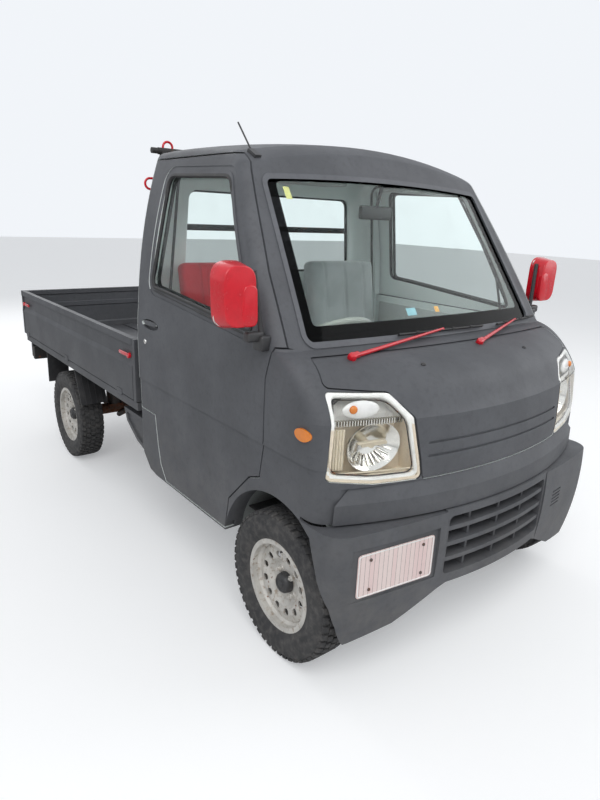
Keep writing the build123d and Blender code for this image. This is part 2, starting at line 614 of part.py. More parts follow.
def build_bed():
    """Load floor with ribs, headboard, drop sides, tailgate and what hangs below."""
    floor_end = TAIL_HINGE_Y - 38
    floor = block(-697, 697, BED_FRONT, floor_end, BED_FLOOR - 12, BED_FLOOR)
    for i in range(9):
        x = -560 + 140 * i
        floor += block(x - 34, x + 34, BED_FRONT + 40, floor_end - 6, BED_FLOOR - 1, BED_FLOOR + 7)
    for solid in both(block(664, 726, BED_FRONT, floor_end, CROSS_TOP, RAIL_TOP) + block(664, 697, BED_FRONT, floor_end, CROSS_TOP, BED_FLOOR - 11)):
        floor += solid
    for y in CROSS_MEMBERS:
        floor += block(-670, 670, y - 30, y + 30, CROSS_TOP, BED_FLOOR - 11)
    floor += block(-700, 700, floor_end - 40, floor_end, CROSS_TOP, RAIL_TOP)
    floor += block(-732, 732, BED_FRONT, BED_FRONT + 30, BED_FLOOR - 12, GATE_TOP)
    save("load_floor", floor)

    gate_face = face_xz([(GATE_OUT - depth, z) for depth, z in GATE_SECTION])
    side = along(gate_face, BED_FRONT + 36, TAIL_HINGE_Y - 40)
    for y in (-40, 760, 1560):
        side += rod((HINGE_X, y, HINGE_Z), (HINGE_X, y + 60, HINGE_Z), HINGE_R)
        side += block(HINGE_X - 4, HINGE_X + 2, y, y + 60, HINGE_Z, GATE_BOTTOM + 20)
    save("side_gate_left", side)
    save("side_gate_right", mirror(side, Plane.YZ))
    tail_face = face_yz([(TAIL_HINGE_Y - 4 - depth, z) for depth, z in GATE_SECTION])
    tail = across(tail_face, -GATE_OUT, GATE_OUT)
    for x in (-500, 0, 500):
        tail += tube_x(TAIL_HINGE_R, TAIL_HINGE_Y, HINGE_Z, x - 30, x + 30)
        tail += block(x - 30, x + 30, TAIL_HINGE_Y - 6, TAIL_HINGE_Y, HINGE_Z, GATE_BOTTOM + 20)
    save("tailgate", tail)

    guard = None
    for sign in (1, -1):
        post = rod((sign * 600, BED_FRONT + 15, GATE_TOP - 2), (sign * 560, BED_FRONT + 15, GUARD_TOP), 16)
        guard = post if guard is None else guard + post
    for z, half in ((GUARD_TOP, GUARD_BAR_HALF), (1430, 575), (1180, 588)):
        guard += tube_x(14, BED_FRONT + 15, z, -half, half)
    for sign in (1, -1):
        stub = sorted((sign * (GUARD_BAR_HALF - 1), sign * (GUARD_BAR_HALF + GUARD_STUB)))
        guard += tube_x(GUARD_STUB_R, BED_FRONT + 15, GUARD_TOP, *stub)
    guard -= block(-800, 800, BED_FRONT - 30, BED_FRONT + 60, GATE_TOP - 60, GATE_TOP)
    save("guard_frame", guard)
    top_hook = rope_loop((540, 1757), (0, -1), 17) - guard
    side_hook = rope_loop((626, 1605), (-1, 0), 60) - guard
    save("rope_hooks", *both(top_hook), *both(side_hook))

    flap = block(590, 720, REAR_AXLE_Y + 330, REAR_AXLE_Y + 336, 400, CROSS_TOP)
    shield = across(face_yz(SHIELD_SIDE), 570, 722)
    for x in SHIELD_RIBS:
        shield += across(face_yz([(y - 5, z) for y, z in SHIELD_SIDE]), x, x + 7)
    save("mud_guards", *both(flap), *both(shield))
    box_face = face_yz(SIDE_BOX)
    save("side_box", across(box_face, -700, -420) - across(offset(box_face, -18), -710, -690))
    save("fuel_tank", block(350, 640, 60, 480, 330, CROSS_BOTTOM))
    lamps = both(block(520, 700, 1638, 1680, 480, 580))
    save("tail_lamps", *lamps)
    save("rear_bar", block(-700, 700, 1600, 1638, 470, 556))


def rope_loop(centre, back, reach):
    """A bent bar loop on the guard frame; back is the way its two legs run, in (x, z)."""
    x, z = centre
    y = BED_FRONT + 15
    ring = Location((x, y, z)) * Rot(90, 0, 0) * Torus(HOOK_BEND_R, HOOK_R)
    low = (x if back[0] else x - 60, z if back[1] else z - 60)
    loop = ring & block(low[0], x + 60, y - 20, y + 20, low[1], z + 60)
    for side in (1, -1):
        foot = (x + side * HOOK_BEND_R * abs(back[1]), y, z + side * HOOK_BEND_R * abs(back[0]))
        loop += rod(foot, (foot[0] + back[0] * reach, y, foot[2] + back[1] * reach), HOOK_R)
    return loop


def build_interior():
    """Dashboard, steering wheel, seats and controls."""
    shaft = rod((-360, -1190, 893), (-360, -1079, 1035), 26)
    dash = block(-655, 655, -1500, -1180, 840, 1060) & cab_volume(side=LAMP_DEPTH + 6, front=LAMP_DEPTH + 6)
    save("dashboard", dash - shaft)
    column = Location((-360, -1075, 1040)) * Rot(-38, 0, 0)
    wheel = column * Torus(185, 14)
    wheel += column * Box(350, 40, 16)
    wheel += column * Pos(0, 0, -10) * Cylinder(52, 44)
    save("steering_wheel", wheel + shaft)
    seats = []
    for sign in (1, -1):
        x = sign * 350
        cushion = block(x - 235, x + 235, -850, -400, SEAT_BASE + 0.3, SEAT_BASE + 110)
        back = Location((x, -372, 1062)) * Rot(-10, 0, 0) * Box(460, 90, 480)
        seats += [fillet(cushion.edges(), 25), fillet(back.edges(), 25)]
    save("seats", *seats)
    lever = rod((-60, -900, 432), (-40, -930, 780), 9)
    lever += Location((-40, -930, 795)) * Sphere(24)
    save("cab_controls", lever)


def build_outside_fittings():
    """Mirrors, wipers and the aerial."""
    housing = block(764, 905, -1247, -1178, 1158, 1365)
    arm = rod((724, -1236, 1124), (800, -1214, 1170), 11)
    mirror_left = fillet(housing.edges(), 24) + (arm - cab_volume())
    save("mirror_left", mirror_left)
    save("mirror_right", mirror(mirror_left, Plane.YZ))
    arms = []
    for spindle, tip, heel, toe in WIPERS:
        x, y, z = spindle
        arm = rod(spindle, tip, 6) + rod((x, y + 20, z - 20), (x, y - 6, z + 6), 14)
        arm += rod(heel, toe, 6)
        arms.append(arm - cab_volume())
    save("wipers", *arms)
    foot = Location((-560, -890, 1694)) * Rot(27, 0, 0) * Box(26, 52, 20)
    save("aerial", foot + rod((-560, -884, 1696), (-560, -786, 1804), 3) - cab_volume())


# Wipers: (spindle, arm tip, blade heel, blade toe)
WIPERS = (
    ((-517, -1404, 1081), (-3, -1338, 1120), (-242, -1333, 1114), (236, -1335, 1111)),
    ((91, -1439, 1080), (482, -1324, 1121), (335, -1333, 1109), (629, -1309, 1120)),
)

build_bumper()
build_wheels()
build_running_gear()
build_bed()
build_interior()
build_outside_fittings()
build_cab()
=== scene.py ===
import math

import bpy
from bpy.props import FloatProperty, FloatVectorProperty, IntProperty, PointerProperty
from mathutils import Matrix, Vector


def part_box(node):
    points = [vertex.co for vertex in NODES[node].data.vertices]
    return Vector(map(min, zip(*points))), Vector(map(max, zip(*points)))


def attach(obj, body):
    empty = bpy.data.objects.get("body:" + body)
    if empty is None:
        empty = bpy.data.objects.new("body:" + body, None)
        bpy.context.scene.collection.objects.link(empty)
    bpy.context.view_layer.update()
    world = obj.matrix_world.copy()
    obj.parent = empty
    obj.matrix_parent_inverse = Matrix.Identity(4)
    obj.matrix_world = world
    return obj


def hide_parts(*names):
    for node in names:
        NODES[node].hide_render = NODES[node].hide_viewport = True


bl_info = {
    "name": "Small flat-bed truck",
    "version": (1, 0, 0),
    "blender": (4, 5, 0),
    "location": "3D View > Sidebar > Truck",
    "description": "Finishes and fine pieces of a small flat-bed truck around its frame",
    "category": "Mesh",
}

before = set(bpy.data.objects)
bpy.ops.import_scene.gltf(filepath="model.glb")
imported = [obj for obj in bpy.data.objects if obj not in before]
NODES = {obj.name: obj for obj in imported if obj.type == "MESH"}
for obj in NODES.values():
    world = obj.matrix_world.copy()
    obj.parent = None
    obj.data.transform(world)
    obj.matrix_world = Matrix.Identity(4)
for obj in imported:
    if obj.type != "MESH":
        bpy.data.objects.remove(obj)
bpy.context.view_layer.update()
SIDES = (("left", 1), ("right", -1))
AXLES = ("front", "rear")


def middle(node):
    """The centre of a node's box."""
    low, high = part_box(node)
    return (low + high) / 2


WHEELS = {(axle, side): middle(f"tyre_{axle}_{side}") for axle in AXLES for side, _ in SIDES}
TYRE_R = WHEELS["front", "left"].z
TYRE_HALF_W = (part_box("tyre_front_left")[1].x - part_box("tyre_front_left")[0].x) / 2


def colour_of(name, description, default):
    """A colour that an owner would choose."""
    return FloatVectorProperty(name=name, description=description, subtype="COLOR", size=3, min=0, max=1,
                               default=default)


def length_of(name, description, low, high, default):
    """A length between two limits."""
    return FloatProperty(name=name, description=description, unit="LENGTH", min=low, max=high, default=default)


class TruckFinish(bpy.types.PropertyGroup):
    """Colours that an owner would choose."""
    coat: colour_of("Body coat", "Textured coat on the cab, bumper and bed", (0.073, 0.076, 0.084))
    inner_paint: colour_of("Inner paint", "Gloss paint inside the cab", (0.86, 0.91, 0.89))
    accent: colour_of("Accent", "Mirrors, wiper arms, hooks and latches", (0.66, 0.005, 0.018))
    wheel_paint: colour_of("Wheel paint", "Pressed steel wheels", (0.62, 0.6, 0.56))
    plate: colour_of("Front plate", "Blank front plate", (0.8, 0.62, 0.6))


class TruckSizes(bpy.types.PropertyGroup):
    """Sizes of the fine pieces."""
    tread_pitches: IntProperty(
        name="Tread pitches", description="Blocks round each tyre", min=20, max=80, default=50)
    tread_depth: length_of("Tread depth", "Depth of the grooves between the blocks", 0.002, 0.012, 0.0062)
    seam: length_of("Seal width", "Width of the black seals round the glass", 0.004, 0.02, 0.009)
    # The seals' width takes in the shadow along the glass: the black band is partly real rubber, partly
    # painted shadow
    nut: length_of("Wheel nut", "Across the corners of a wheel nut", 0.015, 0.03, 0.022)


# Modelling steps

def rest():
    """Object mode with nothing selected."""
    if bpy.context.object and bpy.context.object.mode != "OBJECT":
        bpy.ops.object.mode_set(mode="OBJECT")
    bpy.ops.object.select_all(action="DESELECT")


def pick(*pieces):
    """Selects pieces, the first one active."""
    rest()
    for piece in pieces:
        piece.select_set(True)
    bpy.context.view_layer.objects.active = pieces[0]


def edit():
    """Edit mode with all selected."""
    bpy.ops.object.mode_set(mode="EDIT")
    bpy.ops.mesh.select_all(action="SELECT")


def edit_only(piece, kind, test):
    """Edit mode with only some vertices or polygons of a piece selected."""
    pick(piece)
    bpy.ops.object.mode_set(mode="EDIT")
    bpy.ops.mesh.select_all(action="DESELECT")
    done()
    for part in getattr(piece.data, kind):
        part.select = test(part)
    bpy.ops.object.mode_set(mode="EDIT")


def done():
    """Back to object mode."""
    bpy.ops.object.mode_set(mode="OBJECT")


def face_out():
    """Turns every face outwards and leaves edit mode."""
    bpy.ops.mesh.select_all(action="SELECT")
    bpy.ops.mesh.normals_make_consistent(inside=False)
    done()


def settle(piece, name):
    """Applies a piece's place and names it."""
    pick(piece)
    bpy.ops.object.transform_apply(location=True, rotation=True, scale=True)
    piece.name = name
    piece.data.name = name
    return piece


def apply_modifiers(piece):
    """Makes a piece's modifiers part of its mesh."""
    pick(piece)
    for modifier in list(piece.modifiers):
        bpy.ops.object.modifier_apply(modifier=modifier.name)
    return piece


def rounded(piece, width, segments=2, angle=32):
    """Rounds a piece's edges."""
    modifier = piece.modifiers.new("edges", "BEVEL")
    modifier.width = width
    modifier.segments = segments
    modifier.limit_method = "ANGLE"
    modifier.angle_limit = math.radians(angle)
    return apply_modifiers(piece)


def smooth(piece, angle=35):
    """Shades a piece smooth up to an angle."""
    pick(piece)
    bpy.ops.object.shade_smooth_by_angle(angle=math.radians(angle))
    return piece


def box(name, low, high, edge=0.0, segments=2):
    """A box between two corners, its edges rounded."""
    rest()
    low, high = Vector(low), Vector(high)
    bpy.ops.mesh.primitive_cube_add(size=1, location=(low + high) / 2, scale=high - low)
    piece = settle(bpy.context.object, name)
    return rounded(piece, edge, segments) if edge else piece


def box_set(name, rows):
    """Boxes of (low, high, edge, segments) as one piece."""
    return join(name, [box("part", *row) for row in rows])


def bar(name, start, end, radius, end_radius=None, sides=20):
    """A round bar or cone between two points."""
    start, end = Vector(start), Vector(end)
    rest()
    last = radius if end_radius is None else end_radius
    bpy.ops.mesh.primitive_cone_add(vertices=sides, radius1=radius, radius2=last, depth=(end - start).length)
    piece = bpy.context.object
    turn = (end - start).to_track_quat("Z", "Y").to_matrix().to_4x4()
    piece.matrix_world = Matrix.Translation((start + end) / 2) @ turn
    return settle(piece, name)


def ball(name, centre, radii, segments=24, rings=14):
    """An ellipsoid."""
    rest()
    bpy.ops.mesh.primitive_uv_sphere_add(segments=segments, ring_count=rings, radius=1, location=centre,
                                         scale=radii)
    return settle(bpy.context.object, name)


def add_object(name, data):
    """A new object in the scene."""
    piece = bpy.data.objects.new(name, data)
    bpy.context.scene.collection.objects.link(piece)
    return piece


def moved(piece, matrix):
    """Moves a piece's mesh by a matrix."""
    piece.data.transform(matrix)
    return piece


def pipe(name, points, radius, closed=False, sides=8, smooth_path=False):
    """A round strip along points."""
    curve = bpy.data.curves.new(name, "CURVE")
    curve.dimensions = "3D"
    curve.bevel_depth = radius
    curve.bevel_resolution = max(sides // 4 - 1, 0)
    curve.use_fill_caps = True
    spline = curve.splines.new("NURBS" if smooth_path else "POLY")
    spline.points.add(len(points) - 1)
    for point, place in zip(spline.points, points):
        point.co = (*place, 1)
    if smooth_path:
        spline.order_u = 3
        spline.use_endpoint_u = not closed
        curve.resolution_u = 6
    spline.use_cyclic_u = closed
    pick(add_object(name, curve))
    bpy.ops.object.convert(target="MESH")
    return settle(bpy.context.object, name)


def rounded_loop(points, radius, steps=5):
    """A closed outline with its corners rounded."""
    loop = []
    count = len(points)
    for i, point in enumerate(points):
        here = Vector(point)
        before = (Vector(points[i - 1]) - here).normalized() * radius
        after = (Vector(points[(i + 1) % count]) - here).normalized() * radius
        for step in range(steps + 1):
            t = step / steps
            loop.append(here + before * (1 - t) ** 2 + after * t ** 2)
    return loop


def outward(loop, distance):
    """Each point of a flat outline moved away from its middle."""
    centre = sum(loop, Vector((0, 0))) / len(loop)
    return [point + (point - centre).normalized() * distance for point in loop]


def lathe(name, profile, steps=48, closed=True):
    """An (x, radius) profile spun about the X axis."""
    mesh = bpy.data.meshes.new(name)
    count = len(profile)
    edges = [(i, i + 1) for i in range(count - 1)] + ([(count - 1, 0)] if closed else [])
    mesh.from_pydata([(x, 0, r) for x, r in profile], edges, [])
    piece = add_object(name, mesh)
    pick(piece)
    edit()
    bpy.ops.mesh.spin(steps=steps, angle=math.tau, center=(0, 0, 0), axis=(1, 0, 0))
    bpy.ops.mesh.select_all(action="SELECT")
    bpy.ops.mesh.remove_doubles(threshold=0.00002)
    face_out()
    return piece


def prism(name, outline, front, back):
    """A front-view outline of (x, z) points run along the truck."""
    rest()
    bpy.ops.mesh.primitive_circle_add(vertices=len(outline), radius=1, fill_type="NGON")
    piece = bpy.context.object
    for v, (x, z) in zip(piece.data.vertices, outline):
        v.co = (x, front, z)
    pick(piece)
    edit()
    bpy.ops.mesh.extrude_region_move(TRANSFORM_OT_translate={"value": (0, back - front, 0)})
    face_out()
    return settle(piece, name)


def join(name, pieces):
    """Several pieces as one."""
    pick(*pieces)
    bpy.ops.object.join()
    return settle(bpy.context.object, name)


def copy_of(piece, name, matrix):
    """A copy with its own mesh, moved by a matrix."""
    copy = piece.copy()
    copy.data = piece.data.copy()
    copy.name = name
    copy.data.name = name
    bpy.context.scene.collection.objects.link(copy)
    copy.data.transform(matrix)
    if matrix.determinant() < 0:
        copy.data.flip_normals()
    return copy


MIRROR_X = Matrix.Diagonal((-1, 1, 1, 1))


def turned(degrees, axis):
    """A turn about an axis."""
    return Matrix.Rotation(math.radians(degrees), 4, axis)


def finish(piece, body, material, replaces=(), angle=35):
    """Gives a piece its finish by name, its body and the nodes that it stands for."""
    smooth(piece, angle)
    piece.data.materials.clear()
    piece.data.materials.append(MATERIALS[material])
    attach(piece, body)
    if replaces:
        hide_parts(*replaces)
    return piece


def paired(piece, body, material, replaces=(), angle=35):
    """A left piece and its mirror image; {side} in names stands for left or right."""
    base = piece.name
    piece.name = base + "_left"
    twin = copy_of(piece, base + "_right", MIRROR_X)
    for side, one in (("left", piece), ("right", twin)):
        nodes = [n.format(side=side) for n in replaces]
        finish(one, body.format(side=side), material, nodes, angle)
    return piece, twin


def skin_x(node, y, z, side=1):
    """Where a line across the truck first meets a node's outer face."""
    hit, place, _, _ = NODES[node].ray_cast(Vector((side * 2, y, z)), Vector((-side, 0, 0)))
    if not hit:
        raise RuntimeError(f"no face of {node} at y {y:.3f}, z {z:.3f}")
    return place.x


def skin_y(node, x, z):
    """Where a line from ahead first meets a node's outer face."""
    hit, place, _, _ = NODES[node].ray_cast(Vector((x, -3, z)), Vector((0, 1, 0)))
    if not hit:
        raise RuntimeError(f"no face of {node} at x {x:.3f}, z {z:.3f}")
    return place.y


# Node groups that several finishes share

def new_group(name, inputs, output):
    """A node group fed with a Vector and other inputs: its tree, its input sockets and its one output."""
    group = bpy.data.node_groups.new(name, "ShaderNodeTree")
    for label, value in {"Vector": None, **inputs}.items():
        kind = "NodeSocketFloat" if isinstance(value, float) else "NodeSocketVector"
        socket = group.interface.new_socket(name=label, in_out="INPUT", socket_type=kind)
        if value is not None:
            socket.default_value = value
    group.interface.new_socket(name=output, in_out="OUTPUT", socket_type="NodeSocketFloat")
    start = group.nodes.new("NodeGroupInput")
    end = group.nodes.new("NodeGroupOutput")
    return group, start.outputs, end.inputs[output]


def feed(tree, socket, value):
    """Links a socket to another, or gives it a value."""
    if isinstance(value, bpy.types.NodeSocket):
        tree.links.new(value, socket)
    else:
        socket.default_value = value


def add_node(tree, kind, settings=(), **inputs):
    """A node with its settings and inputs, by name or as i and a number."""
    node = tree.nodes.new(kind)
    for key, value in dict(settings).items():
        setattr(node, key, value)
    for key, value in inputs.items():
        numbered = key[0] == "i" and key[1:].isdigit()
        feed(tree, node.inputs[int(key[1:]) if numbered else key.replace("_", " ")], value)
    return node


def calc(tree, operation, *values):
    """The result of a Math node."""
    inputs = {f"i{number}": value for number, value in enumerate(values)}
    return add_node(tree, "ShaderNodeMath", {"operation": operation}, **inputs).outputs[0]


def vector_calc(tree, operation, *values):
    """A Vector Math node."""
    inputs = {f"i{number}": value for number, value in enumerate(values)}
    return add_node(tree, "ShaderNodeVectorMath", {"operation": operation}, **inputs)


def levels(tree, value, low, high, **to):
    """A value spread between two levels: 0 to 1, or what to says."""
    node = add_node(tree, "ShaderNodeMapRange", Value=value, From_Min=low, From_Max=high, **to)
    return node.outputs["Result"]


def noise_of(group, vector, scale, **settings):
    """The value of a noise texture."""
    return add_node(group, "ShaderNodeTexNoise", Vector=vector, Scale=scale, **settings).outputs["Fac"]


def patches_group():
    """Uneven patches: a mask from soft noise between two levels."""
    group, given, mask = new_group("Uneven patches", {"Scale": 8.0, "From": 0.4, "To": 0.65}, "Mask")
    noise = noise_of(group, given["Vector"], given["Scale"], Detail=6.0, Roughness=0.6)
    group.links.new(levels(group, noise, given["From"], given["To"]), mask)
    return group


def grain_group():
    """Fine grain: a height for a bump, coarse lumps under fine ones."""
    group, given, height = new_group("Fine grain", {"Scale": 500.0, "Lumps": 0.35}, "Height")
    fine = noise_of(group, given["Vector"], given["Scale"], Detail=2.0, Roughness=0.55)
    lumps = noise_of(group, given["Vector"], calc(group, "MULTIPLY", given["Scale"], 0.22), Detail=1.0)
    mix = add_node(group, "ShaderNodeMix", i0=given["Lumps"], i2=fine, i3=lumps)
    group.links.new(mix.outputs[0], height)
    return group


def dust_group():
    """Road dust: a mask that is strongest low down, broken up by noise."""
    group, given, mask = new_group("Road dust", {"Top": 0.9, "Bottom": 0.1, "Amount": 0.5}, "Mask")
    parts = add_node(group, "ShaderNodeSeparateXYZ", Vector=given["Vector"])
    low = levels(group, parts.outputs["Z"], given["Top"], given["Bottom"])
    noise = noise_of(group, given["Vector"], 14.0, Detail=7.0, Roughness=0.65)
    both = calc(group, "MULTIPLY", low, levels(group, noise, 0.3, 0.7))
    group.links.new(calc(group, "MULTIPLY", both, given["Amount"]), mask)
    return group


def inside_group():
    """Faces of a hollow form that look in towards a centre."""
    inputs = {"Normal": None, "Centre": (0, 0, 0), "Edge": 0.12}
    group, given, mask = new_group("Faces looking in", inputs, "Mask")
    out = vector_calc(group, "SUBTRACT", given["Vector"], given["Centre"])
    unit = vector_calc(group, "NORMALIZE", out.outputs["Vector"])
    dot = vector_calc(group, "DOT_PRODUCT", unit.outputs["Vector"], given["Normal"])
    group.links.new(calc(group, "LESS_THAN", dot.outputs["Value"], given["Edge"]), mask)
    return group


GROUPS = {}


class Finish:
    """A material under way: its tree, its shader and its coordinates."""

    def __init__(self, name, colour, roughness, metallic=0.0):
        self.material = bpy.data.materials.new(name)
        self.material.use_nodes = True
        self.tree = self.material.node_tree
        self.shader = self.tree.nodes["Principled BSDF"]
        self.shader.inputs["Base Color"].default_value = (*colour, 1)
        self.shader.inputs["Roughness"].default_value = roughness
        self.shader.inputs["Metallic"].default_value = metallic
        self.colour = (*colour, 1)
        self.roughness = roughness
        self.coords = self.tree.nodes.new("ShaderNodeTexCoord")
        self.place = self.coords.outputs["Object"]

    def mask(self, group, **inputs):
        """One of the shared groups, by its maker, fed with this finish's coordinates."""
        if group not in GROUPS:
            GROUPS[group] = group()
        node = self.tree.nodes.new("ShaderNodeGroup")
        node.node_tree = GROUPS[group]
        self.tree.links.new(self.place, node.inputs["Vector"])
        for key, value in inputs.items():
            feed(self.tree, node.inputs[key], value)
        return node.outputs[0]

    def patches(self, scale, start, end, share=None):
        """The mask of uneven patches, at a share of its strength if given."""
        mask = self.mask(patches_group, Scale=scale, From=start, To=end)
        return mask if share is None else self.times(mask, share)

    def grain(self, scale, lumps, distance, strength):
        """Fine grain in the normal."""
        return self.bump(self.mask(grain_group, Scale=scale, Lumps=lumps), distance, strength)

    def height(self):
        """The height above the ground."""
        return add_node(self.tree, "ShaderNodeSeparateXYZ", Vector=self.place).outputs["Z"]

    def times(self, a, b):
        """The product of a mask and a mask or number."""
        return calc(self.tree, "MULTIPLY", a, b)

    def tint(self, mask, colour, roughness=None):
        """Mixes another colour, and roughness, in where the mask is."""
        mix = add_node(self.tree, "ShaderNodeMix", {"data_type": "RGBA"}, i0=mask, i6=self.colour,
                       i7=(*colour, 1))
        self.colour = mix.outputs[2]
        self.tree.links.new(self.colour, self.shader.inputs["Base Color"])
        if roughness is not None:
            rough = add_node(self.tree, "ShaderNodeMix", i0=mask, i2=self.roughness, i3=roughness)
            self.roughness = rough.outputs[0]
            self.tree.links.new(self.roughness, self.shader.inputs["Roughness"])
        return self

    def bump(self, height, distance, strength=1.0):
        """Feeds a height to the normal."""
        node = add_node(self.tree, "ShaderNodeBump", Height=height, Distance=distance, Strength=strength)
        if self.shader.inputs["Normal"].is_linked:
            self.tree.links.new(self.shader.inputs["Normal"].links[0].from_socket, node.inputs["Normal"])
        self.tree.links.new(node.outputs["Normal"], self.shader.inputs["Normal"])
        return self

    def set(self, **values):
        """Plain values on the shader's own sockets."""
        for key, value in values.items():
            self.shader.inputs[key.replace("_", " ")].default_value = value
        return self


DUST = (0.26, 0.245, 0.225)
GLASS_TINT = (0.93, 0.985, 0.97)
RUST = (0.16, 0.055, 0.022)
CAB_MIDDLE = (0.0, -0.85, 1.08)
TURN_LAMP_LOW = 0.899
# Width of a plank of the front plate with its gap, and the plank's share of it
PLANK_PITCH = 0.0176
PLANK_SHARE = 0.93
MATERIALS = {}


def shade(colour, factor):
    """A colour made lighter or darker."""
    return tuple(min(c * factor, 1) for c in colour)


def coat_finish(name, factor, dust_top, inner=None):
    """The rolled-on coat: fine pebbled grain, mottled and dusty, with other paint inside if given."""
    colour = shade(bpy.context.scene.truck_finish.coat, factor)
    coat = Finish(name, colour, 0.62)
    coat.tint(coat.patches(5.0, 0.35, 0.7), shade(colour, 1.28), 0.55)
    coat.tint(coat.patches(46.0, 0.5, 0.75, 0.5), shade(colour, 0.72))
    coat.tint(coat.mask(dust_group, Top=dust_top, Bottom=0.15, Amount=0.34), DUST, 0.85)
    if inner is not None:
        mask = coat.mask(inside_group, Normal=coat.coords.outputs["Normal"], Centre=CAB_MIDDLE, Edge=-0.35)
        coat.tint(mask, inner, 0.3)
    coat.grain(420.0, 0.5, 0.0011, 0.55)
    return coat.material


def gloss_finish(name, colour, roughness=0.22):
    """Sprayed gloss paint with faint waviness and dust."""
    paint = Finish(name, colour, roughness)
    paint.set(Coat_Weight=0.3, Coat_Roughness=0.12)
    paint.tint(paint.patches(24.0, 0.45, 0.8), shade(colour, 0.8), roughness + 0.14)
    paint.tint(paint.patches(150.0, 0.62, 0.72, 0.12), DUST, 0.6)
    paint.grain(260.0, 0.6, 0.0003, 0.3)
    return paint.material


def plastic_finish(name, colour, roughness=0.5, grain=900.0, dust=0.12):
    """Moulded plastic or rubber with grain and dust in patches."""
    moulded = Finish(name, colour, roughness)
    moulded.tint(moulded.patches(18.0, 0.45, 0.75, dust), DUST, 0.8)
    moulded.tint(moulded.patches(90.0, 0.4, 0.9), shade(colour, 1.3))
    moulded.grain(grain, 0.2, 0.0005, 0.5)
    return moulded.material


def metal_finish(name, colour, roughness, metallic, rust_from, rust_colour=RUST):
    """Steel with paint or none, rusted in patches."""
    steel = Finish(name, colour, roughness, metallic)
    steel.tint(steel.patches(12.0, 0.4, 0.8), shade(colour, 0.75), roughness + 0.1)
    patch = steel.patches(38.0, rust_from, rust_from + 0.08)
    steel.tint(patch, rust_colour, 0.85)
    metal = levels(steel.tree, patch, 0.0, 1.0, To_Min=metallic, To_Max=0.0)
    steel.tree.links.new(metal, steel.shader.inputs["Metallic"])
    steel.grain(300.0, 0.5, 0.0006, 0.4)
    return steel.material


def wheel_finish(name, colour):
    """Silver-white wheel paint, browned in patches and with a rusty scrape."""
    paint = Finish(name, colour, 0.38, 0.15)
    paint.tint(paint.patches(16.0, 0.42, 0.72), shade(colour, 0.74), 0.5)
    paint.tint(paint.patches(60.0, 0.55, 0.66, 0.7), (0.3, 0.22, 0.15), 0.75)
    paint.tint(paint.patches(34.0, 0.66, 0.7), RUST, 0.85)
    paint.grain(240.0, 0.5, 0.0004, 0.3)
    return paint.material


def tyre_finish(name):
    """Rubber, grey in patches and dusty in patches."""
    rubber = Finish(name, (0.026, 0.026, 0.028), 0.78)
    rubber.tint(rubber.patches(9.0, 0.35, 0.7), (0.055, 0.054, 0.054), 0.85)
    rubber.tint(rubber.patches(40.0, 0.45, 0.75, 0.5), (0.16, 0.15, 0.14))
    rubber.grain(600.0, 0.4, 0.0006, 0.5)
    return rubber.material


def glass_finish(name, colour, roughness=0.0, bend=1.3):
    """Clear tinted glass."""
    glass = Finish(name, colour, roughness)
    glass.set(Transmission_Weight=1.0, IOR=bend)
    glass.tint(glass.patches(6.0, 0.5, 0.9), shade(colour, 0.93))
    return glass.material


def screen_finish(name, colour):
    """Windscreen glass with the painted border inside its seal."""
    glass = Finish(name, colour, 0.0)
    glass.set(Transmission_Weight=1.0, IOR=1.15)
    tree = glass.tree
    parts = add_node(tree, "ShaderNodeSeparateXYZ", Vector=glass.place)
    across = calc(tree, "ABSOLUTE", parts.outputs["X"])
    lean = calc(tree, "MULTIPLY_ADD", parts.outputs["Z"], SCREEN_LEAN, -SCREEN_HALF)
    side = calc(tree, "ADD", across, lean)
    low = calc(tree, "SUBTRACT", SCREEN_LOW, parts.outputs["Z"])
    bow = calc(tree, "MULTIPLY_ADD", calc(tree, "MULTIPLY", across, across), SCREEN_BOW, -SCREEN_HIGH)
    high = calc(tree, "ADD", parts.outputs["Z"], bow)
    edge = calc(tree, "SMOOTH_MAX", side, calc(tree, "MAXIMUM", low, high), 0.03)
    glass.tint(levels(tree, edge, 0.0, 0.002), (0.012, 0.012, 0.013))
    return glass.material


def lamp_shell_finish(name):
    """The lamp's inside: white round the turn lamp, cream below it."""
    shell = Finish(name, (0.95, 0.95, 0.93), 0.22)
    shell.set(Coat_Weight=0.4, Coat_Roughness=0.1)
    low = levels(shell.tree, shell.height(), TURN_LAMP_LOW + 0.003, TURN_LAMP_LOW - 0.003)
    shell.tint(low, (0.8, 0.7, 0.56), 0.35)
    shell.tint(shell.patches(60.0, 0.5, 0.8, 0.35), (0.45, 0.38, 0.29))
    return shell.material


def fabric_finish(name, colour, weave=700.0):
    """Woven cloth: two crossed waves and fuzz."""
    cloth = Finish(name, colour, 0.9)
    cloth.set(Sheen_Weight=0.35, Sheen_Roughness=0.4)
    heights = []
    for direction in ("X", "Z"):
        wave = add_node(cloth.tree, "ShaderNodeTexWave", {"bands_direction": direction}, Vector=cloth.place,
                        Scale=weave / 6, Distortion=0.6, Detail=1.0)
        heights.append(wave.outputs["Fac"])
    threads = calc(cloth.tree, "MAXIMUM", *heights)
    cloth.tint(cloth.times(threads, 0.35), shade(colour, 1.35))
    cloth.tint(cloth.patches(7.0, 0.4, 0.8), shade(colour, 0.72))
    cloth.bump(threads, 0.0008, 0.6)
    return cloth.material


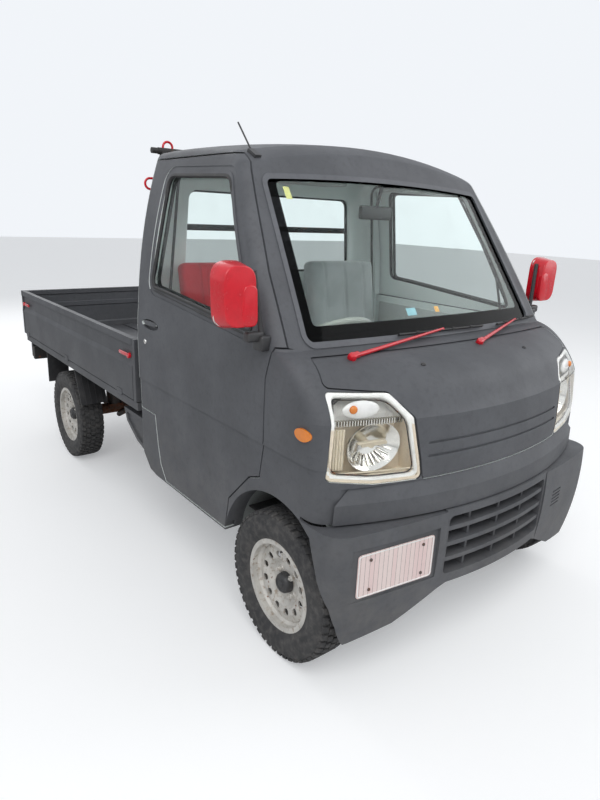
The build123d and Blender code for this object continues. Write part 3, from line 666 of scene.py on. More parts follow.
def plank_finish(name, colour):
    """The blank front plate: pale planks with thin dark gaps."""
    plate = Finish(name, colour, 0.35)
    plate.set(Coat_Weight=0.3)
    parts = add_node(plate.tree, "ShaderNodeSeparateXYZ", Vector=plate.place)
    count = calc(plate.tree, "DIVIDE", parts.outputs["X"], PLANK_PITCH)
    gap = calc(plate.tree, "GREATER_THAN", calc(plate.tree, "FRACT", count), PLANK_SHARE)
    plank = calc(plate.tree, "FLOOR", count)
    shade_of = add_node(plate.tree, "ShaderNodeTexWhiteNoise", {"noise_dimensions": "1D"}, W=plank)
    plate.tint(plate.times(shade_of.outputs["Value"], 0.7), (0.84, 0.74, 0.7))
    plate.tint(plate.patches(90.0, 0.5, 0.8, 0.2), (0.5, 0.36, 0.33))
    plate.tint(gap, (0.2, 0.14, 0.14))
    plate.grain(500.0, 0.3, 0.0002, 0.3)
    return plate.material


def make_materials():
    """Every finish, by name."""
    owner = bpy.context.scene.truck_finish
    MATERIALS.update({
        "cab_coat": coat_finish("Cab coat", 1.0, 0.75, owner.inner_paint),
        "bumper_coat": coat_finish("Bumper coat", 1.0, 0.75),
        "bed_coat": coat_finish("Bed coat", 0.88, 0.8),
        "accent": gloss_finish("Accent gloss", owner.accent, 0.2),
        "rubber": plastic_finish("Black rubber", (0.018, 0.018, 0.019), 0.6, 900.0, 0.15),
        "black_plastic": plastic_finish("Black plastic", (0.028, 0.028, 0.03), 0.45, 700.0, 0.12),
        "tyre": tyre_finish("Tyre rubber"),
        "wheel": wheel_finish("Wheel paint", owner.wheel_paint),
        "glass": glass_finish("Window glass", GLASS_TINT, 0.0, 1.15),
        "screen": screen_finish("Windscreen glass", GLASS_TINT),
        "lamp_shell": lamp_shell_finish("Lamp shell"),
        # The windscreen seal has the body's own coat; the factor 1.35 makes it lighter as a painted highlight
        "seal_coat_painted_light": coat_finish("Coated seal", 1.35, 0.75),
        "paper": plastic_finish("Paper", (0.78, 0.79, 0.78), 0.7, 300.0, 0.05),
        "lens": glass_finish("Lamp lens", (1.0, 1.0, 0.985), 0.0, 1.12),
        "reflector": metal_finish("Reflector", (0.86, 0.85, 0.82), 0.12, 1.0, 0.95),
        "cream": gloss_finish("Cream lamp plastic", (0.72, 0.64, 0.5), 0.3),
        "white_trim": gloss_finish("White lamp trim", (0.93, 0.93, 0.91), 0.25),
        "amber": gloss_finish("Amber lens", (0.8, 0.24, 0.03), 0.15),
        "red_lens": gloss_finish("Red lens", (0.45, 0.01, 0.01), 0.12),
        "clear_lens": gloss_finish("Clear lens", (0.9, 0.9, 0.885), 0.12),
        "dash": plastic_finish("Dashboard plastic", (0.3, 0.32, 0.315), 0.55, 500.0, 0.15),
        "wheel_grip": plastic_finish("Steering wheel plastic", (0.36, 0.36, 0.33), 0.45, 800.0, 0.1),
        "trim": plastic_finish("Cab trim", (0.52, 0.54, 0.53), 0.6, 500.0, 0.1),
        "seat_cloth": fabric_finish("Grey cloth", (0.42, 0.44, 0.44)),
        "red_cloth": fabric_finish("Red cloth", (0.5, 0.02, 0.03)),
        "plate": plank_finish("Plank plate", owner.plate),
        "chassis": metal_finish("Chassis paint", (0.035, 0.034, 0.033), 0.6, 0.2, 0.6),
        "iron": metal_finish("Bare iron", (0.13, 0.12, 0.115), 0.55, 0.6, 0.55),
        "rusty": metal_finish("Rusty steel", (0.22, 0.13, 0.09), 0.7, 0.4, 0.48),
        "bright": metal_finish("Bright steel", (0.72, 0.71, 0.69), 0.25, 1.0, 0.78),
        "tank": plastic_finish("Tank", (0.03, 0.03, 0.032), 0.5, 400.0, 0.35),
        "sticker_yellow": plastic_finish("Yellow sticker", (0.78, 0.72, 0.28), 0.4, 300.0, 0.0),
        "sticker_blue": plastic_finish("Blue sticker", (0.3, 0.55, 0.62), 0.4, 300.0, 0.0),
        "sticker_orange": plastic_finish("Orange sticker", (0.85, 0.42, 0.1), 0.4, 300.0, 0.0),
    })


# The clear part of the windscreen: half width at z = 0, its lean, lower edge, upper edge at the middle and bow
SCREEN_HALF = 0.689
SCREEN_LEAN = 0.103
SCREEN_LOW = 1.158
SCREEN_HIGH = 1.622
SCREEN_BOW = 0.0535
# The nodes of each finish; rims and tyres come by name
NODE_FINISH = {
    "cab_coat": ("cab_shell", "door_left", "door_right"),
    "bumper_coat": ("front_panel", "front_bumper", "bumper_band"),
    "bed_coat": ("side_gate_left", "side_gate_right", "tailgate", "load_floor", "side_box"),
    "dash": ("cab_floor", "engine_cover", "dashboard"),
    "chassis": ("guard_frame", "chassis_frame", "front_suspension", "rear_bar"),
    "accent": ("rope_hooks",),
    "screen": ("windscreen",),
    "glass": ("rear_window", "door_glass_left", "door_glass_right"),
    # The windscreen seal: the body's coat painted lighter, as a painted highlight
    "seal_coat_painted_light": ("windscreen_seal",),
    "lens": ("headlamp_lenses",),
    "lamp_shell": ("headlamp_housings",),
    "amber": ("side_markers",),
    "plate": ("license_plate",),
    "wheel_grip": ("steering_wheel",),
    "iron": ("rear_suspension", "knuckle_left", "knuckle_right", "engine"),
    "rusty": ("rear_axle", "propshaft", "exhaust"),
    "tank": ("fuel_tank",),
    "red_lens": ("tail_lamps",),
    "wheel": ("spare_rim",),
}


# Tread blocks: the slant of their sides, and their vertices once the edges are rounded
BLOCK_SKEW = 0.25
BLOCK_VERTICES = 24


def tyre_piece():
    """A tyre round the X axis: carcass, two shoulder rows, two middle rows and a centre row of blocks."""
    sizes = bpy.context.scene.truck_sizes
    w = TYRE_HALF_W
    base = TYRE_R - sizes.tread_depth
    top = TYRE_R - 0.0004
    half = [
        (0.0535, 0.1535), (0.0545, 0.163), (0.06, 0.17), (w * 0.94, 0.186), (w * 0.985, 0.197),
        (w * 0.999, 0.2), (w * 0.999, 0.214), (w * 0.98, 0.229), (w * 0.955, 0.241), (w * 0.965, 0.243),
        (w * 0.9, 0.2515), (w * 0.8, base - 0.003), (w * 0.4, base - 0.0005), (0.0, base),
    ]
    profile = half + [(-x, r) for x, r in reversed(half[:-1])]
    carcass = lathe("tyre", profile, 80)
    # Rows of blocks: (inner x, outer x, share of the pitch, turn of the pitch, outer radius at the far edge)
    rows = [
        (0.044, 0.0655, 0.66, 0.0, TYRE_R - 0.005), (0.0165, 0.04, 0.7, 0.5, TYRE_R - 0.0012),
        (-0.0125, 0.0125, 0.74, 0.15, TYRE_R - 0.0006), (-0.04, -0.0165, 0.7, 0.85, TYRE_R - 0.0012),
        (-0.0655, -0.044, 0.66, 0.35, TYRE_R - 0.005),
    ]
    pitch = math.tau / sizes.tread_pitches
    blocks = []
    for inner, outer, share, turn, far_r in rows:
        length = TYRE_R * pitch * share
        block = box("block", (inner, -length / 2, base - 0.008), (outer, length / 2, top))
        slope = far_r - top
        for v in block.data.vertices:
            if v.co.z > base and abs(v.co.x) > abs(inner + outer) / 2:
                v.co.z += slope
            v.co.y += BLOCK_SKEW * (v.co.x - (inner + outer) / 2)
        blocks.append(moved(rounded(block, 0.0014, 1), Matrix.Rotation(pitch * turn, 4, "X")))
    tread = join("tread", blocks)
    pick(tread)
    edit()
    bpy.ops.mesh.spin(steps=sizes.tread_pitches, dupli=True, angle=math.tau, center=(0, 0, 0), axis=(1, 0, 0))
    done()
    drop_last_copy(tread, len(rows) * BLOCK_VERTICES)
    return join("tyre", [carcass, tread])


def drop_last_copy(piece, count):
    """Removes the last of the turned copies, which lies on the first one."""
    kept = len(piece.data.vertices) - count
    edit_only(piece, "vertices", lambda v: v.index >= kept)
    bpy.ops.mesh.delete(type="VERT")
    done()


def wheel_places():
    """Body and matrix of each wheel, its outer side turned outwards."""
    for (axle, side), centre in WHEELS.items():
        sign = 1 if side == "left" else -1
        yield f"{axle}_{side}", Matrix.Translation(centre) @ Matrix.Diagonal((sign, 1, 1, 1))


class TRUCK_OT_tyres(bpy.types.Operator):
    """Block-tread tyres on the four wheels and the spare"""
    bl_idname = "truck.tyres"
    bl_label = "Tyres"

    def execute(self, context):
        base = tyre_piece()
        for wheel, place in wheel_places():
            tyre = copy_of(base, f"tread_tyre_{wheel}", place)
            finish(tyre, f"wheel_{wheel}", "tyre", [f"tyre_{wheel}"])
        place = Matrix.Translation(middle("spare_tyre")) @ turned(90, "Y")
        spare = copy_of(base, "tread_tyre_spare", place)
        finish(spare, "body", "tyre", ["spare_tyre"])
        bpy.data.objects.remove(base)
        return {"FINISHED"}


class TRUCK_OT_wheel_fittings(bpy.types.Operator):
    """Wheel nuts, hub caps and valve stems"""
    bl_idname = "truck.wheel_fittings"
    bl_label = "Wheel fittings"

    def execute(self, context):
        nut_r = context.scene.truck_sizes.nut / 2
        nuts = []
        for i in range(4):
            foot = Matrix.Rotation(math.tau * (i + 0.5) / 4, 4, "X") @ Vector((0.012, 0, 0.05))
            washer = bar("washer", foot, foot + Vector((0.003, 0, 0)), nut_r * 1.3, nut_r * 1.1, 20)
            nut = bar("nut", foot, foot + Vector((0.016, 0, 0)), nut_r, None, 6)
            stud = bar("stud", foot, foot + Vector((0.021, 0, 0)), nut_r * 0.5, nut_r * 0.42, 12)
            nuts += [washer, rounded(nut, 0.0012, 1), stud]
        nuts = join("nuts", nuts)
        cap_profile = [(0.0125, 0.0), (0.0125, 0.0375), (0.02, 0.0375), (0.0345, 0.035), (0.042, 0.0285),
                       (0.0432, 0.024), (0.0405, 0.0215), (0.04, 0.0)]
        cap = lathe("cap", cap_profile, 40)
        ridge = bar("ridge", (0.04, 0, 0), (0.0432, 0, 0), 0.0155, 0.0135, 6)
        cap = join("cap", [cap, rounded(ridge, 0.001, 1)])
        valve = bar("valve", (0.022, 0, 0.129), (0.047, 0, 0.127), 0.0045, 0.0035, 12)
        for wheel, place in wheel_places():
            for piece, name, material, slot in ((nuts, "wheel_nuts", "wheel", "wheel_steel"),
                                                (cap, "hub_cap", "black_plastic", "dash_plastic"),
                                                (valve, "valve", "rubber", "black_rubber")):
                finish(copy_of(piece, f"{name}_{wheel}", place), f"wheel_{wheel}", material)
        for piece in (nuts, cap, valve):
            bpy.data.objects.remove(piece)
        return {"FINISHED"}


# Places on the cab, in metres, left side where there are two
LAMP_CENTRE = Vector((0.532, -1.54, 0.826))
LAMP_WIDEN = 1.24
LAMP_TURN = 10
TURN_LAMP = Vector((0.58, -1.52, 0.948))
# The lamp's white frame and the thin line inside it: (x, z)
LAMP_FRAME = [(0.401, 0.729), (0.432, 0.915), (0.487, 0.981), (0.67, 0.991), (0.696, 0.753), (0.56, 0.732)]
LAMP_LINE = [(0.414, 0.74), (0.443, 0.909), (0.492, 0.969), (0.662, 0.979), (0.688, 0.764), (0.56, 0.743)]
HANDLE_YZ = (-0.387, 1.034)
LOCK_YZ = (-0.337, 0.954)
# Ribs under the turn lamp and flutes beside the reflector: first x, pitch and count
LAMP_RIBS = (0.445, 0.0085, 26)
LAMP_FLUTES = (0.636, 0.0088, 6)


def behind_lens(points, depth):
    """Points of a front view, (x, z), set behind the headlamp lens."""
    return [(x, skin_y("headlamp_lenses", x, z) + depth, z) for x, z in points]


class TRUCK_OT_headlamps(bpy.types.Operator):
    """Reflectors, bulbs, turn lamps and ribs behind the headlamp lenses"""
    bl_idname = "truck.headlamps"
    bl_label = "Headlamp insides"

    def execute(self, context):
        bowl_profile = [(0.0, 0.0765), (0.0015, 0.0795), (-0.003, 0.0795), (-0.022, 0.062), (-0.036, 0.042),
                        (-0.044, 0.018), (-0.0455, 0.0), (-0.043, 0.0), (-0.0415, 0.017), (-0.033, 0.04),
                        (-0.0195, 0.0595)]
        turn = turned(-90 + LAMP_TURN, "Z")
        facing = Matrix.Translation(LAMP_CENTRE) @ turn @ Matrix.Diagonal((1, LAMP_WIDEN, 1, 1))
        bowl = moved(lathe("bowl", bowl_profile, 56), facing)
        flutes = []
        for i in range(9):
            angle = math.radians(200 + 15 * i)
            y, z = 0.055 * math.cos(angle), 0.055 * math.sin(angle)
            flute = bar("flute", (-0.03, y * 0.65, z * 0.65), (-0.006, y * 1.15, z * 1.15), 0.0035, None, 10)
            flutes.append(moved(flute, facing))
        paired(join("lamp_reflector", [bowl] + flutes), "body", "reflector")
        bulb = bar("bulb", (-0.044, 0, 0), (-0.008, 0, 0), 0.0085, 0.0085, 20)
        shield = box("shield", (-0.02, -0.04, 0.01), (-0.004, 0.045, 0.0155), 0.002)
        shield_b = box("shield_b", (-0.02, -0.046, -0.0015), (-0.008, 0.03, 0.009), 0.002)
        lamp_bulb = join("lamp_bulb", [rounded(bulb, 0.004, 3), shield, shield_b])
        paired(moved(lamp_bulb, facing), "body", "cream")

        turn_at = Matrix.Translation(TURN_LAMP) @ turned(18, "Z")
        oval = ball("turn_lamp_bowl", (0, 0, 0), (0.062, 0.014, 0.029), 36, 18)
        paired(moved(oval, turn_at), "body", "clear_lens")
        bulb = ball("turn_bulb", (0.03, -0.0135, 0.006), (0.013, 0.009, 0.013))
        paired(moved(bulb, turn_at), "body", "amber")

        for label, edge, depth, radius, material in (("lamp_frame", LAMP_FRAME, 0.013, 0.0085, "white_trim"),
                                                     ("lamp_frame_line", LAMP_LINE, 0.014, 0.0022, "iron")):
            run = behind_lens(rounded_loop(edge, 0.03), depth)
            paired(pipe(label, run, radius, closed=True, sides=16), "body", material)
        for shift in (0.012, 0.022):
            run = behind_lens([(0.412 + 0.027 * i, 0.729 + shift + 0.0008 * i) for i in range(10)], 0.018)
            paired(pipe(f"lamp_sill_{round(shift * 1000)}", run, 0.003), "body", "cream")
        start, pitch, count = LAMP_RIBS
        run = behind_lens([(start + pitch * i, 0.905) for i in range(count)], 0.026)
        ribs = [box("rib", (x, y, 0.9), (x + 0.0045, y + 0.016, 0.917)) for x, y, _ in run]
        paired(join("lamp_ribs", ribs), "body", "reflector")
        start, pitch, count = LAMP_FLUTES
        run = behind_lens([(start + pitch * i, 0.8) for i in range(count)], 0.034)
        flutes = [bar("side_flute", (x, y, 0.762), (x, y, 0.892), 0.0046, None, 12) for x, y, _ in run]
        paired(join("lamp_flutes", flutes), "body", "cream")
        return {"FINISHED"}


# The left mirror from ahead, its raised panel and its glass: (x, z); and the stay beside it
MIRROR = [(0.7645, 1.1585), (0.897, 1.1585), (0.9045, 1.364), (0.77, 1.364)]
MIRROR_PANEL = [(0.772, 1.17), (0.83, 1.17), (0.826, 1.296), (0.776, 1.296)]
MIRROR_GLASS = [(0.7735, 1.1675), (0.8955, 1.1675), (0.8955, 1.355), (0.7735, 1.355)]
MIRROR_STAY = [(0.742, -1.226, 1.12), (0.752, -1.222, 1.19), (0.76, -1.218, 1.27), (0.768, -1.214, 1.335)]
# The middle that the housing's front face narrows to, and by how much at its edge
MIRROR_MIDDLE = (0.8345, 1.261)
MIRROR_TAPER = 0.012


class TRUCK_OT_mirrors(bpy.types.Operator):
    """Door mirrors: ridged gloss housing, glass, black arm and foot"""
    bl_idname = "truck.mirrors"
    bl_label = "Door mirrors"

    def execute(self, context):
        shell = prism("mirror_housing", rounded_loop(MIRROR, 0.058, 8), -1.2465, -1.18)
        for v in shell.data.vertices:
            if v.co.y < -1.2:
                v.co.x += MIRROR_TAPER * (MIRROR_MIDDLE[0] - v.co.x) / 0.07
                v.co.z += MIRROR_TAPER * (MIRROR_MIDDLE[1] - v.co.z) / 0.1
        edit_only(shell, "polygons", lambda face: face.normal.y > 0.9)
        bpy.ops.mesh.inset(thickness=0.007)
        bpy.ops.mesh.extrude_region_move(TRANSFORM_OT_translate={"value": (0, -0.01, 0)})
        done()
        rounded(shell, 0.015, 5, 40)
        panel = rounded(prism("panel", rounded_loop(MIRROR_PANEL, 0.024, 6), -1.2495, -1.23), 0.005, 3, 40)
        housing = join("mirror_housing", [shell, panel])
        paired(housing, "door_{side}", "accent", ["mirror_{side}"], 40)
        glass = prism("mirror_glass", rounded_loop(MIRROR_GLASS, 0.036, 8), -1.1925, -1.187)
        paired(glass, "door_{side}", "reflector")
        foot_x = skin_x("door_left", -1.222, 1.105)
        foot = box("foot", (foot_x - 0.01, -1.25, 1.088), (foot_x + 0.03, -1.196, 1.138), 0.008, 3)
        arm = box("arm", (foot_x + 0.008, -1.236, 1.118), (0.8, -1.204, 1.15), 0.008, 3)
        rib = pipe("rib", MIRROR_STAY, 0.0085, sides=16, smooth_path=True)
        paired(join("mirror_arm", [foot, arm, rib]), "door_{side}", "black_plastic")
        return {"FINISHED"}


# Door window, from its front corner along the belt: (y, z)
DOOR_WINDOW = [(-1.15, 1.129), (-0.517, 1.186), (-0.392, 1.194), (-0.412, 1.632), (-0.876, 1.62)]
REAR_WINDOW = [(-0.5, 1.225), (0.5, 1.225), (0.47, 1.59), (-0.47, 1.59)]
DOOR_OPENING = [(-1.15, 1.06), (-1.13, 0.76), (-0.92, 0.48), (-0.5, 0.48), (-0.44, 0.7),
                (-0.33, 0.74), (-0.33, 1.66), (-0.87, 1.655), (-1.11, 1.29)]
# The strip along the belt: its start and length along the door, its height there and its slope
BELT_START = -1.125
BELT_LENGTH = 0.72
BELT_Z = 1.1155
BELT_SLOPE = 0.0887


class TRUCK_OT_seals(bpy.types.Operator):
    """Rubber seals round the side and rear windows and the door openings"""
    bl_idname = "truck.seals"
    bl_label = "Window seals"

    def execute(self, context):
        # The black seals are as wide as the dark band round the glass, partly real rubber and partly painted
        # shadow
        width = context.scene.truck_sizes.seam
        loop = rounded_loop(DOOR_WINDOW, 0.04)
        wide = outward(loop, 0.01)
        seal = [(skin_x("door_left", y, z) - 0.004, *point) for point, (y, z) in zip(loop, wide)]
        paired(pipe("door_window_seal", seal, width, closed=True), "door_{side}", "rubber")
        inner = [(x - 0.026, y, z) for x, y, z in seal]
        paired(pipe("door_window_lining", inner, width, closed=True), "door_{side}", "rubber")
        belt = []
        for i in range(12):
            y = BELT_START + BELT_LENGTH * i / 11
            z = BELT_Z + (y - DOOR_WINDOW[0][0]) * BELT_SLOPE
            belt.append((skin_x("door_left", y, z) - 0.001, y, z))
        paired(pipe("belt_strip", belt, 0.0045), "door_{side}", "rubber")
        loop = rounded_loop(REAR_WINDOW, 0.045)
        rear = pipe("rear_window_seal", [(x, -0.2285, z) for x, z in loop], width, closed=True)
        finish(rear, "body", "rubber")
        loop = rounded_loop(DOOR_OPENING, 0.06)
        loop = [(0.648 - max(z - 1.1, 0) * 0.17, y, z) for y, z in loop]
        paired(pipe("door_opening_seal", loop, 0.006, closed=True), "body", "rubber")
        return {"FINISHED"}


class TRUCK_OT_door_handles(bpy.types.Operator):
    """Flush pull handles with dark dishes, and lock cylinders"""
    bl_idname = "truck.door_handles"
    bl_label = "Door handles"

    def execute(self, context):
        y, z = HANDLE_YZ
        x = skin_x("door_left", y, z + 0.034)
        dish = ball("handle_dish", (x - 0.0135, y, z), (0.003, 0.076, 0.019), 40, 12)
        paired(dish, "door_{side}", "rubber")
        flap = box_set("handle_flap", [
            ((x - 0.011, y - 0.061, z - 0.004), (x + 0.001, y + 0.061, z + 0.0155), 0.0045, 3),
            ((x - 0.003, y - 0.052, z - 0.0065), (x + 0.0015, y + 0.052, z - 0.001), 0.0015, 2)])
        paired(flap, "door_{side}", "black_plastic")
        y, z = LOCK_YZ
        x = skin_x("door_left", y, z)
        ring = bar("lock_ring", (x - 0.004, y, z), (x + 0.0022, y, z), 0.0115, 0.0105, 28)
        core = bar("lock_core", (x - 0.004, y, z), (x + 0.003, y, z), 0.0078, 0.0074, 28)
        key = box("lock_slot", (x + 0.002, y - 0.0009, z - 0.0042), (x + 0.0034, y + 0.0009, z + 0.0042),
                  0.0003, 1)
        paired(join("door_lock", [rounded(ring, 0.0008, 2), core]), "door_{side}", "bright")
        paired(key, "door_{side}", "rubber")
        return {"FINISHED"}


# Wipers: (spindle, arm tip, blade heel, blade toe)
WIPERS = (
    ((-0.517, -1.404, 1.081), (-0.003, -1.338, 1.12), (-0.242, -1.333, 1.114), (0.236, -1.335, 1.111)),
    ((0.091, -1.439, 1.08), (0.482, -1.324, 1.121), (0.335, -1.333, 1.109), (0.629, -1.309, 1.12)),
)


class TRUCK_OT_wipers(bpy.types.Operator):
    """Wiper arms, pivots and blades"""
    bl_idname = "truck.wipers"
    bl_label = "Wipers"

    def execute(self, context):
        arms, blades = [], []
        for spindle, tip, heel, toe in WIPERS:
            spindle, tip, heel, toe = (Vector(p) for p in (spindle, tip, heel, toe))
            up = Vector((0, -0.45, 0.89))
            head = bar("head", spindle - up * 0.016, spindle + up * 0.01, 0.015, 0.0125, 24)
            knuckle = box("knuckle", (-0.017, -0.01, -0.006), (0.03, 0.01, 0.011), 0.004, 3)
            along_arm = (tip - spindle).normalized()
            turn = Matrix((along_arm, up.cross(along_arm).normalized(), up)).transposed().to_4x4()
            knuckle.data.transform(Matrix.Translation(spindle) @ turn)
            blade_run = [p + Vector((0, -0.006, 0.003)) for p in (heel, (heel + toe) / 2, toe)]
            arm = bar("arm", spindle + along_arm * 0.02, tip, 0.0078, 0.0042, 12)
            yoke = bar("yoke", tip, blade_run[1], 0.0042, 0.0048, 10)
            arms += [rounded(head, 0.002, 2), knuckle, arm, yoke]
            blades.append(pipe("holder", blade_run, 0.0042, sides=8))
            strip = [p + Vector((0, 0.004, -0.004)) for p in blade_run]
            blades.append(pipe("rubber", strip, 0.003, sides=8))
            for share in (0.2, 0.42, 0.62, 0.84):
                at = blade_run[0].lerp(blade_run[2], share)
                low, high = at - Vector((0.008, 0.005, 0.005)), at + Vector((0.008, 0.005, 0.006))
                blades.append(box("clip", low, high, 0.0015, 1))
        finish(join("wiper_arms", arms), "body", "accent", ["wipers"])
        finish(join("wiper_blades", blades), "body", "rubber", ["wipers"])
        return {"FINISHED"}


# Seats: centre x of the left one, and the cushion's and back's boxes about it
SEAT_X = 0.35
CUSHION = ((-0.228, -0.842, 0.702), (0.228, -0.408, 0.8))
BACK = ((-0.223, -0.04, -0.232), (0.223, 0.036, 0.232))
BACK_PLACE = (-0.372, 1.062)
BACK_LEAN = -10


# Pads: grid of the mesh, height of the held underside, frames and pressure of the simulation
PAD_GRID = 0.008
PAD_HELD = 0.012
PAD_FRAMES = 20
PAD_PRESSURE = 4
# Sewn channels: depth and half width
CHANNEL_DEPTH = 0.008
CHANNEL_WIDTH = 0.007


def puffed(piece, cap):
    """Swells a pad like stuffed cloth, its underside held."""
    pick(piece)
    remesh = piece.modifiers.new("even", "REMESH")
    remesh.mode = "VOXEL"
    remesh.voxel_size = PAD_GRID
    apply_modifiers(piece)
    start = [v.co.copy() for v in piece.data.vertices]
    low = min(co.z for co in start)
    held = piece.vertex_groups.new(name="held")
    held.add([i for i, co in enumerate(start) if co.z < low + PAD_HELD], 1.0, "REPLACE")
    cloth = piece.modifiers.new("cloth", "CLOTH")
    cloth.settings.vertex_group_mass = "held"
    cloth.settings.use_pressure = True
    cloth.settings.uniform_pressure_force = PAD_PRESSURE
    cloth.settings.effector_weights.gravity = 0
    for number in range(1, PAD_FRAMES + 1):
        bpy.context.scene.frame_set(number)
    apply_modifiers(piece)
    for v, co in zip(piece.data.vertices, start):
        move = v.co - co
        if move.length > cap:
            v.co = co + move.normalized() * cap
    bpy.context.scene.frame_set(1)
    return piece


def sewn(piece, lines, axis, top):
    """Presses sewn channels into the pad's outer face along one axis."""
    for v in piece.data.vertices:
        if (v.co.z > top) if axis == 0 else (v.co.y < top):
            depth = sum(CHANNEL_DEPTH * math.exp(-((v.co.x - line) / CHANNEL_WIDTH) ** 2) for line in lines)
            if axis == 0:
                v.co.z -= depth
            else:
                v.co.y += depth
    level = piece.modifiers.new("soft", "SUBSURF")
    level.levels = level.render_levels = 1
    return apply_modifiers(piece)


class TRUCK_OT_seats(bpy.types.Operator):
    """Two seats: swelled cushions and backs with sewn channels"""
    bl_idname = "truck.seats"
    bl_label = "Seats"

    def execute(self, context):
        cushion = puffed(box("cushion", *CUSHION, 0.03, 4), 0.01)
        sewn(cushion, (-0.135, 0.0, 0.135), 0, 0.77)
        back = puffed(box("back", *BACK, 0.028, 4), 0.008)
        sewn(back, (-0.13, 0.0, 0.13), 1, -0.02)
        back.data.transform(turned(BACK_LEAN, "X"))
        for side, sign in SIDES:
            place = Matrix.Translation((sign * SEAT_X, 0, 0))
            seat = copy_of(cushion, f"cushion_{side}", place)
            rest_pad = copy_of(back, f"backrest_{side}", place @ Matrix.Translation((0, *BACK_PLACE)))
            finish(seat, "body", "seat_cloth", ["seats"], 60)
            cover = "red_cloth" if side == "right" else "seat_cloth"
            finish(rest_pad, "body", cover, ["seats"], 60)
        bpy.data.objects.remove(cushion)
        bpy.data.objects.remove(back)
        return {"FINISHED"}


# Blank stickers inside the windscreen: name, place from ahead, half width and half height
STICKERS = (("yellow", -0.487, 1.572, 0.013, 0.02), ("blue", -0.107, 1.178, 0.025, 0.0125),
            ("orange", 0.035, 1.18, 0.012, 0.01))


class TRUCK_OT_cab_inside(bpy.types.Operator):
    """Door cards, instruments, inner mirror, visors and loose paper"""
    bl_idname = "truck.cab_inside"
    bl_label = "Cab inside"

    def execute(self, context):
        card = box_set("door_card", [((0.6585, -1.14, 0.7), (0.6655, -0.35, 1.06), 0.003, 2),
                                   ((0.625, -0.9, 0.905), (0.66, -0.56, 0.945), 0.012, 3)])
        paired(card, "door_{side}", "trim")
        # Window crank: hub, arm and knob
        crank = [bar("crank_hub", (0.66, -0.99, 0.86), (0.642, -0.99, 0.86), 0.022, 0.018, 24),
                 bar("crank_arm", (0.646, -0.99, 0.86), (0.64, -0.9, 0.88), 0.008, 0.006, 12),
                 bar("crank_knob", (0.642, -0.9, 0.88), (0.612, -0.9, 0.88), 0.01, 0.012, 20)]
        paired(join("window_crank", crank), "door_{side}", "black_plastic")
        # Instrument hood, shelf and middle stack
        fittings = box_set("dash_fittings", [((-0.52, -1.3, 1.052), (-0.2, -1.17, 1.105), 0.022, 4),
                                           ((0.06, -1.186, 0.9), (0.6, -1.168, 0.985), 0.006, 3),
                                           ((-0.15, -1.188, 0.85), (0.03, -1.162, 1.045), 0.008, 3)])
        finish(fittings, "body", "dash")
        vents = [((x - 0.036, -1.192, z), (x + 0.036, -1.16, z + 0.003), 0.001, 1)
                 for x in (-0.6, -0.06, 0.18, 0.6) for z in (1.002, 1.011, 1.02, 1.029)]
        finish(box_set("dash_vents", vents), "body", "rubber")
        face = box("gauge_face", (-0.48, -1.176, 1.0), (-0.24, -1.166, 1.06), 0.004, 2)
        finish(face, "body", "rubber")
        glass = box("inner_mirror", (-0.085, -0.945, 1.495), (0.085, -0.922, 1.548), 0.009, 3)
        stalk = bar("stalk", (0, -0.94, 1.545), (0, -0.96, 1.62), 0.006, 0.008, 14)
        finish(join("inner_mirror", [glass, stalk]), "body", "black_plastic")
        visor = box("visor", (0.16, -0.935, 1.612), (0.52, -0.8, 1.626), 0.006, 3)
        paired(visor, "body", "trim")
        sheet = box("paper", (0.35, -1.3, 1.0612), (0.56, -1.2, 1.0625), 0.0004, 1)
        finish(sheet, "body", "paper")
        mat = box("floor_mat", (-0.64, -1.54, 0.43), (0.64, -0.9, 0.4355), 0.002, 1)
        finish(mat, "body", "rubber")
        for name, x, z, half_w, half_h in STICKERS:
            low, high = (skin_y("windscreen", x, z + sign * half_h) for sign in (-1, 1))
            corners = (x - half_w, 0, z - half_h), (x + half_w, 0.0006, z + half_h)
            patch = box(f"sticker_{name}", *corners, 0.0002, 1)
            for v in patch.data.vertices:
                v.co.y += (low + high) / 2 + (high - low) * (v.co.z - z) / (2 * half_h) + 0.0055
            finish(patch, "body", f"sticker_{name}")
        return {"FINISHED"}


# The front plate's turn in degrees, and half its border's width and height
PLATE_TURN = -7.9
BORDER_W = 0.148
BORDER_H = 0.0715
# Fins behind the grille
FINS = 34
FIN_PITCH = 0.016


class TRUCK_OT_plate_trim(bpy.types.Operator):
    """White border and bolts of the blank front plate, and the dark fins behind the grille"""
    bl_idname = "truck.plate_trim"
    bl_label = "Plate and grille trim"

    def execute(self, context):
        place = Matrix.Translation(middle("license_plate")) @ turned(PLATE_TURN, "Z")
        corners = [(-BORDER_W, -BORDER_H), (BORDER_W, -BORDER_H), (BORDER_W, BORDER_H), (-BORDER_W, BORDER_H)]
        loop = rounded_loop(corners, 0.012)
        border = pipe("plate_border", [(x, -0.0012, z) for x, z in loop], 0.002, closed=True)
        finish(moved(border, place), "body", "white_trim")
        bolts = [rounded(bar("bolt", (x, 0.001, z), (x, -0.005, z), 0.0062, 0.0055, 6), 0.0008, 1)
                 for x in (-0.105, 0.105) for z in (-0.052, 0.052)]
        finish(moved(join("plate_bolts", bolts), place), "body", "iron")
        fins = [box("back", (-0.27, -1.626, 0.362), (0.27, -1.62, 0.568), 0.002, 1)]
        for i in range(FINS):
            x = (i - (FINS - 1) / 2) * FIN_PITCH
            fins.append(box("fin", (x - 0.001, -1.632, 0.366), (x + 0.001, -1.62, 0.564)))
        finish(join("grille_fins", fins), "body", "rubber")
        nozzles = [ball("nozzle", (x, skin_y("front_panel", x, 1.05), 1.05), (0.011, 0.007, 0.007), 20, 12)
                   for x in (-0.29, 0.29)]
        finish(join("washer_nozzles", nozzles), "body", "black_plastic")
        return {"FINISHED"}


# Gate latches: end, the lever's two ends along the truck, its pivot
LATCHES = (("front", -0.16, -0.04, -0.15), ("rear", 1.5, 1.62, 1.61))
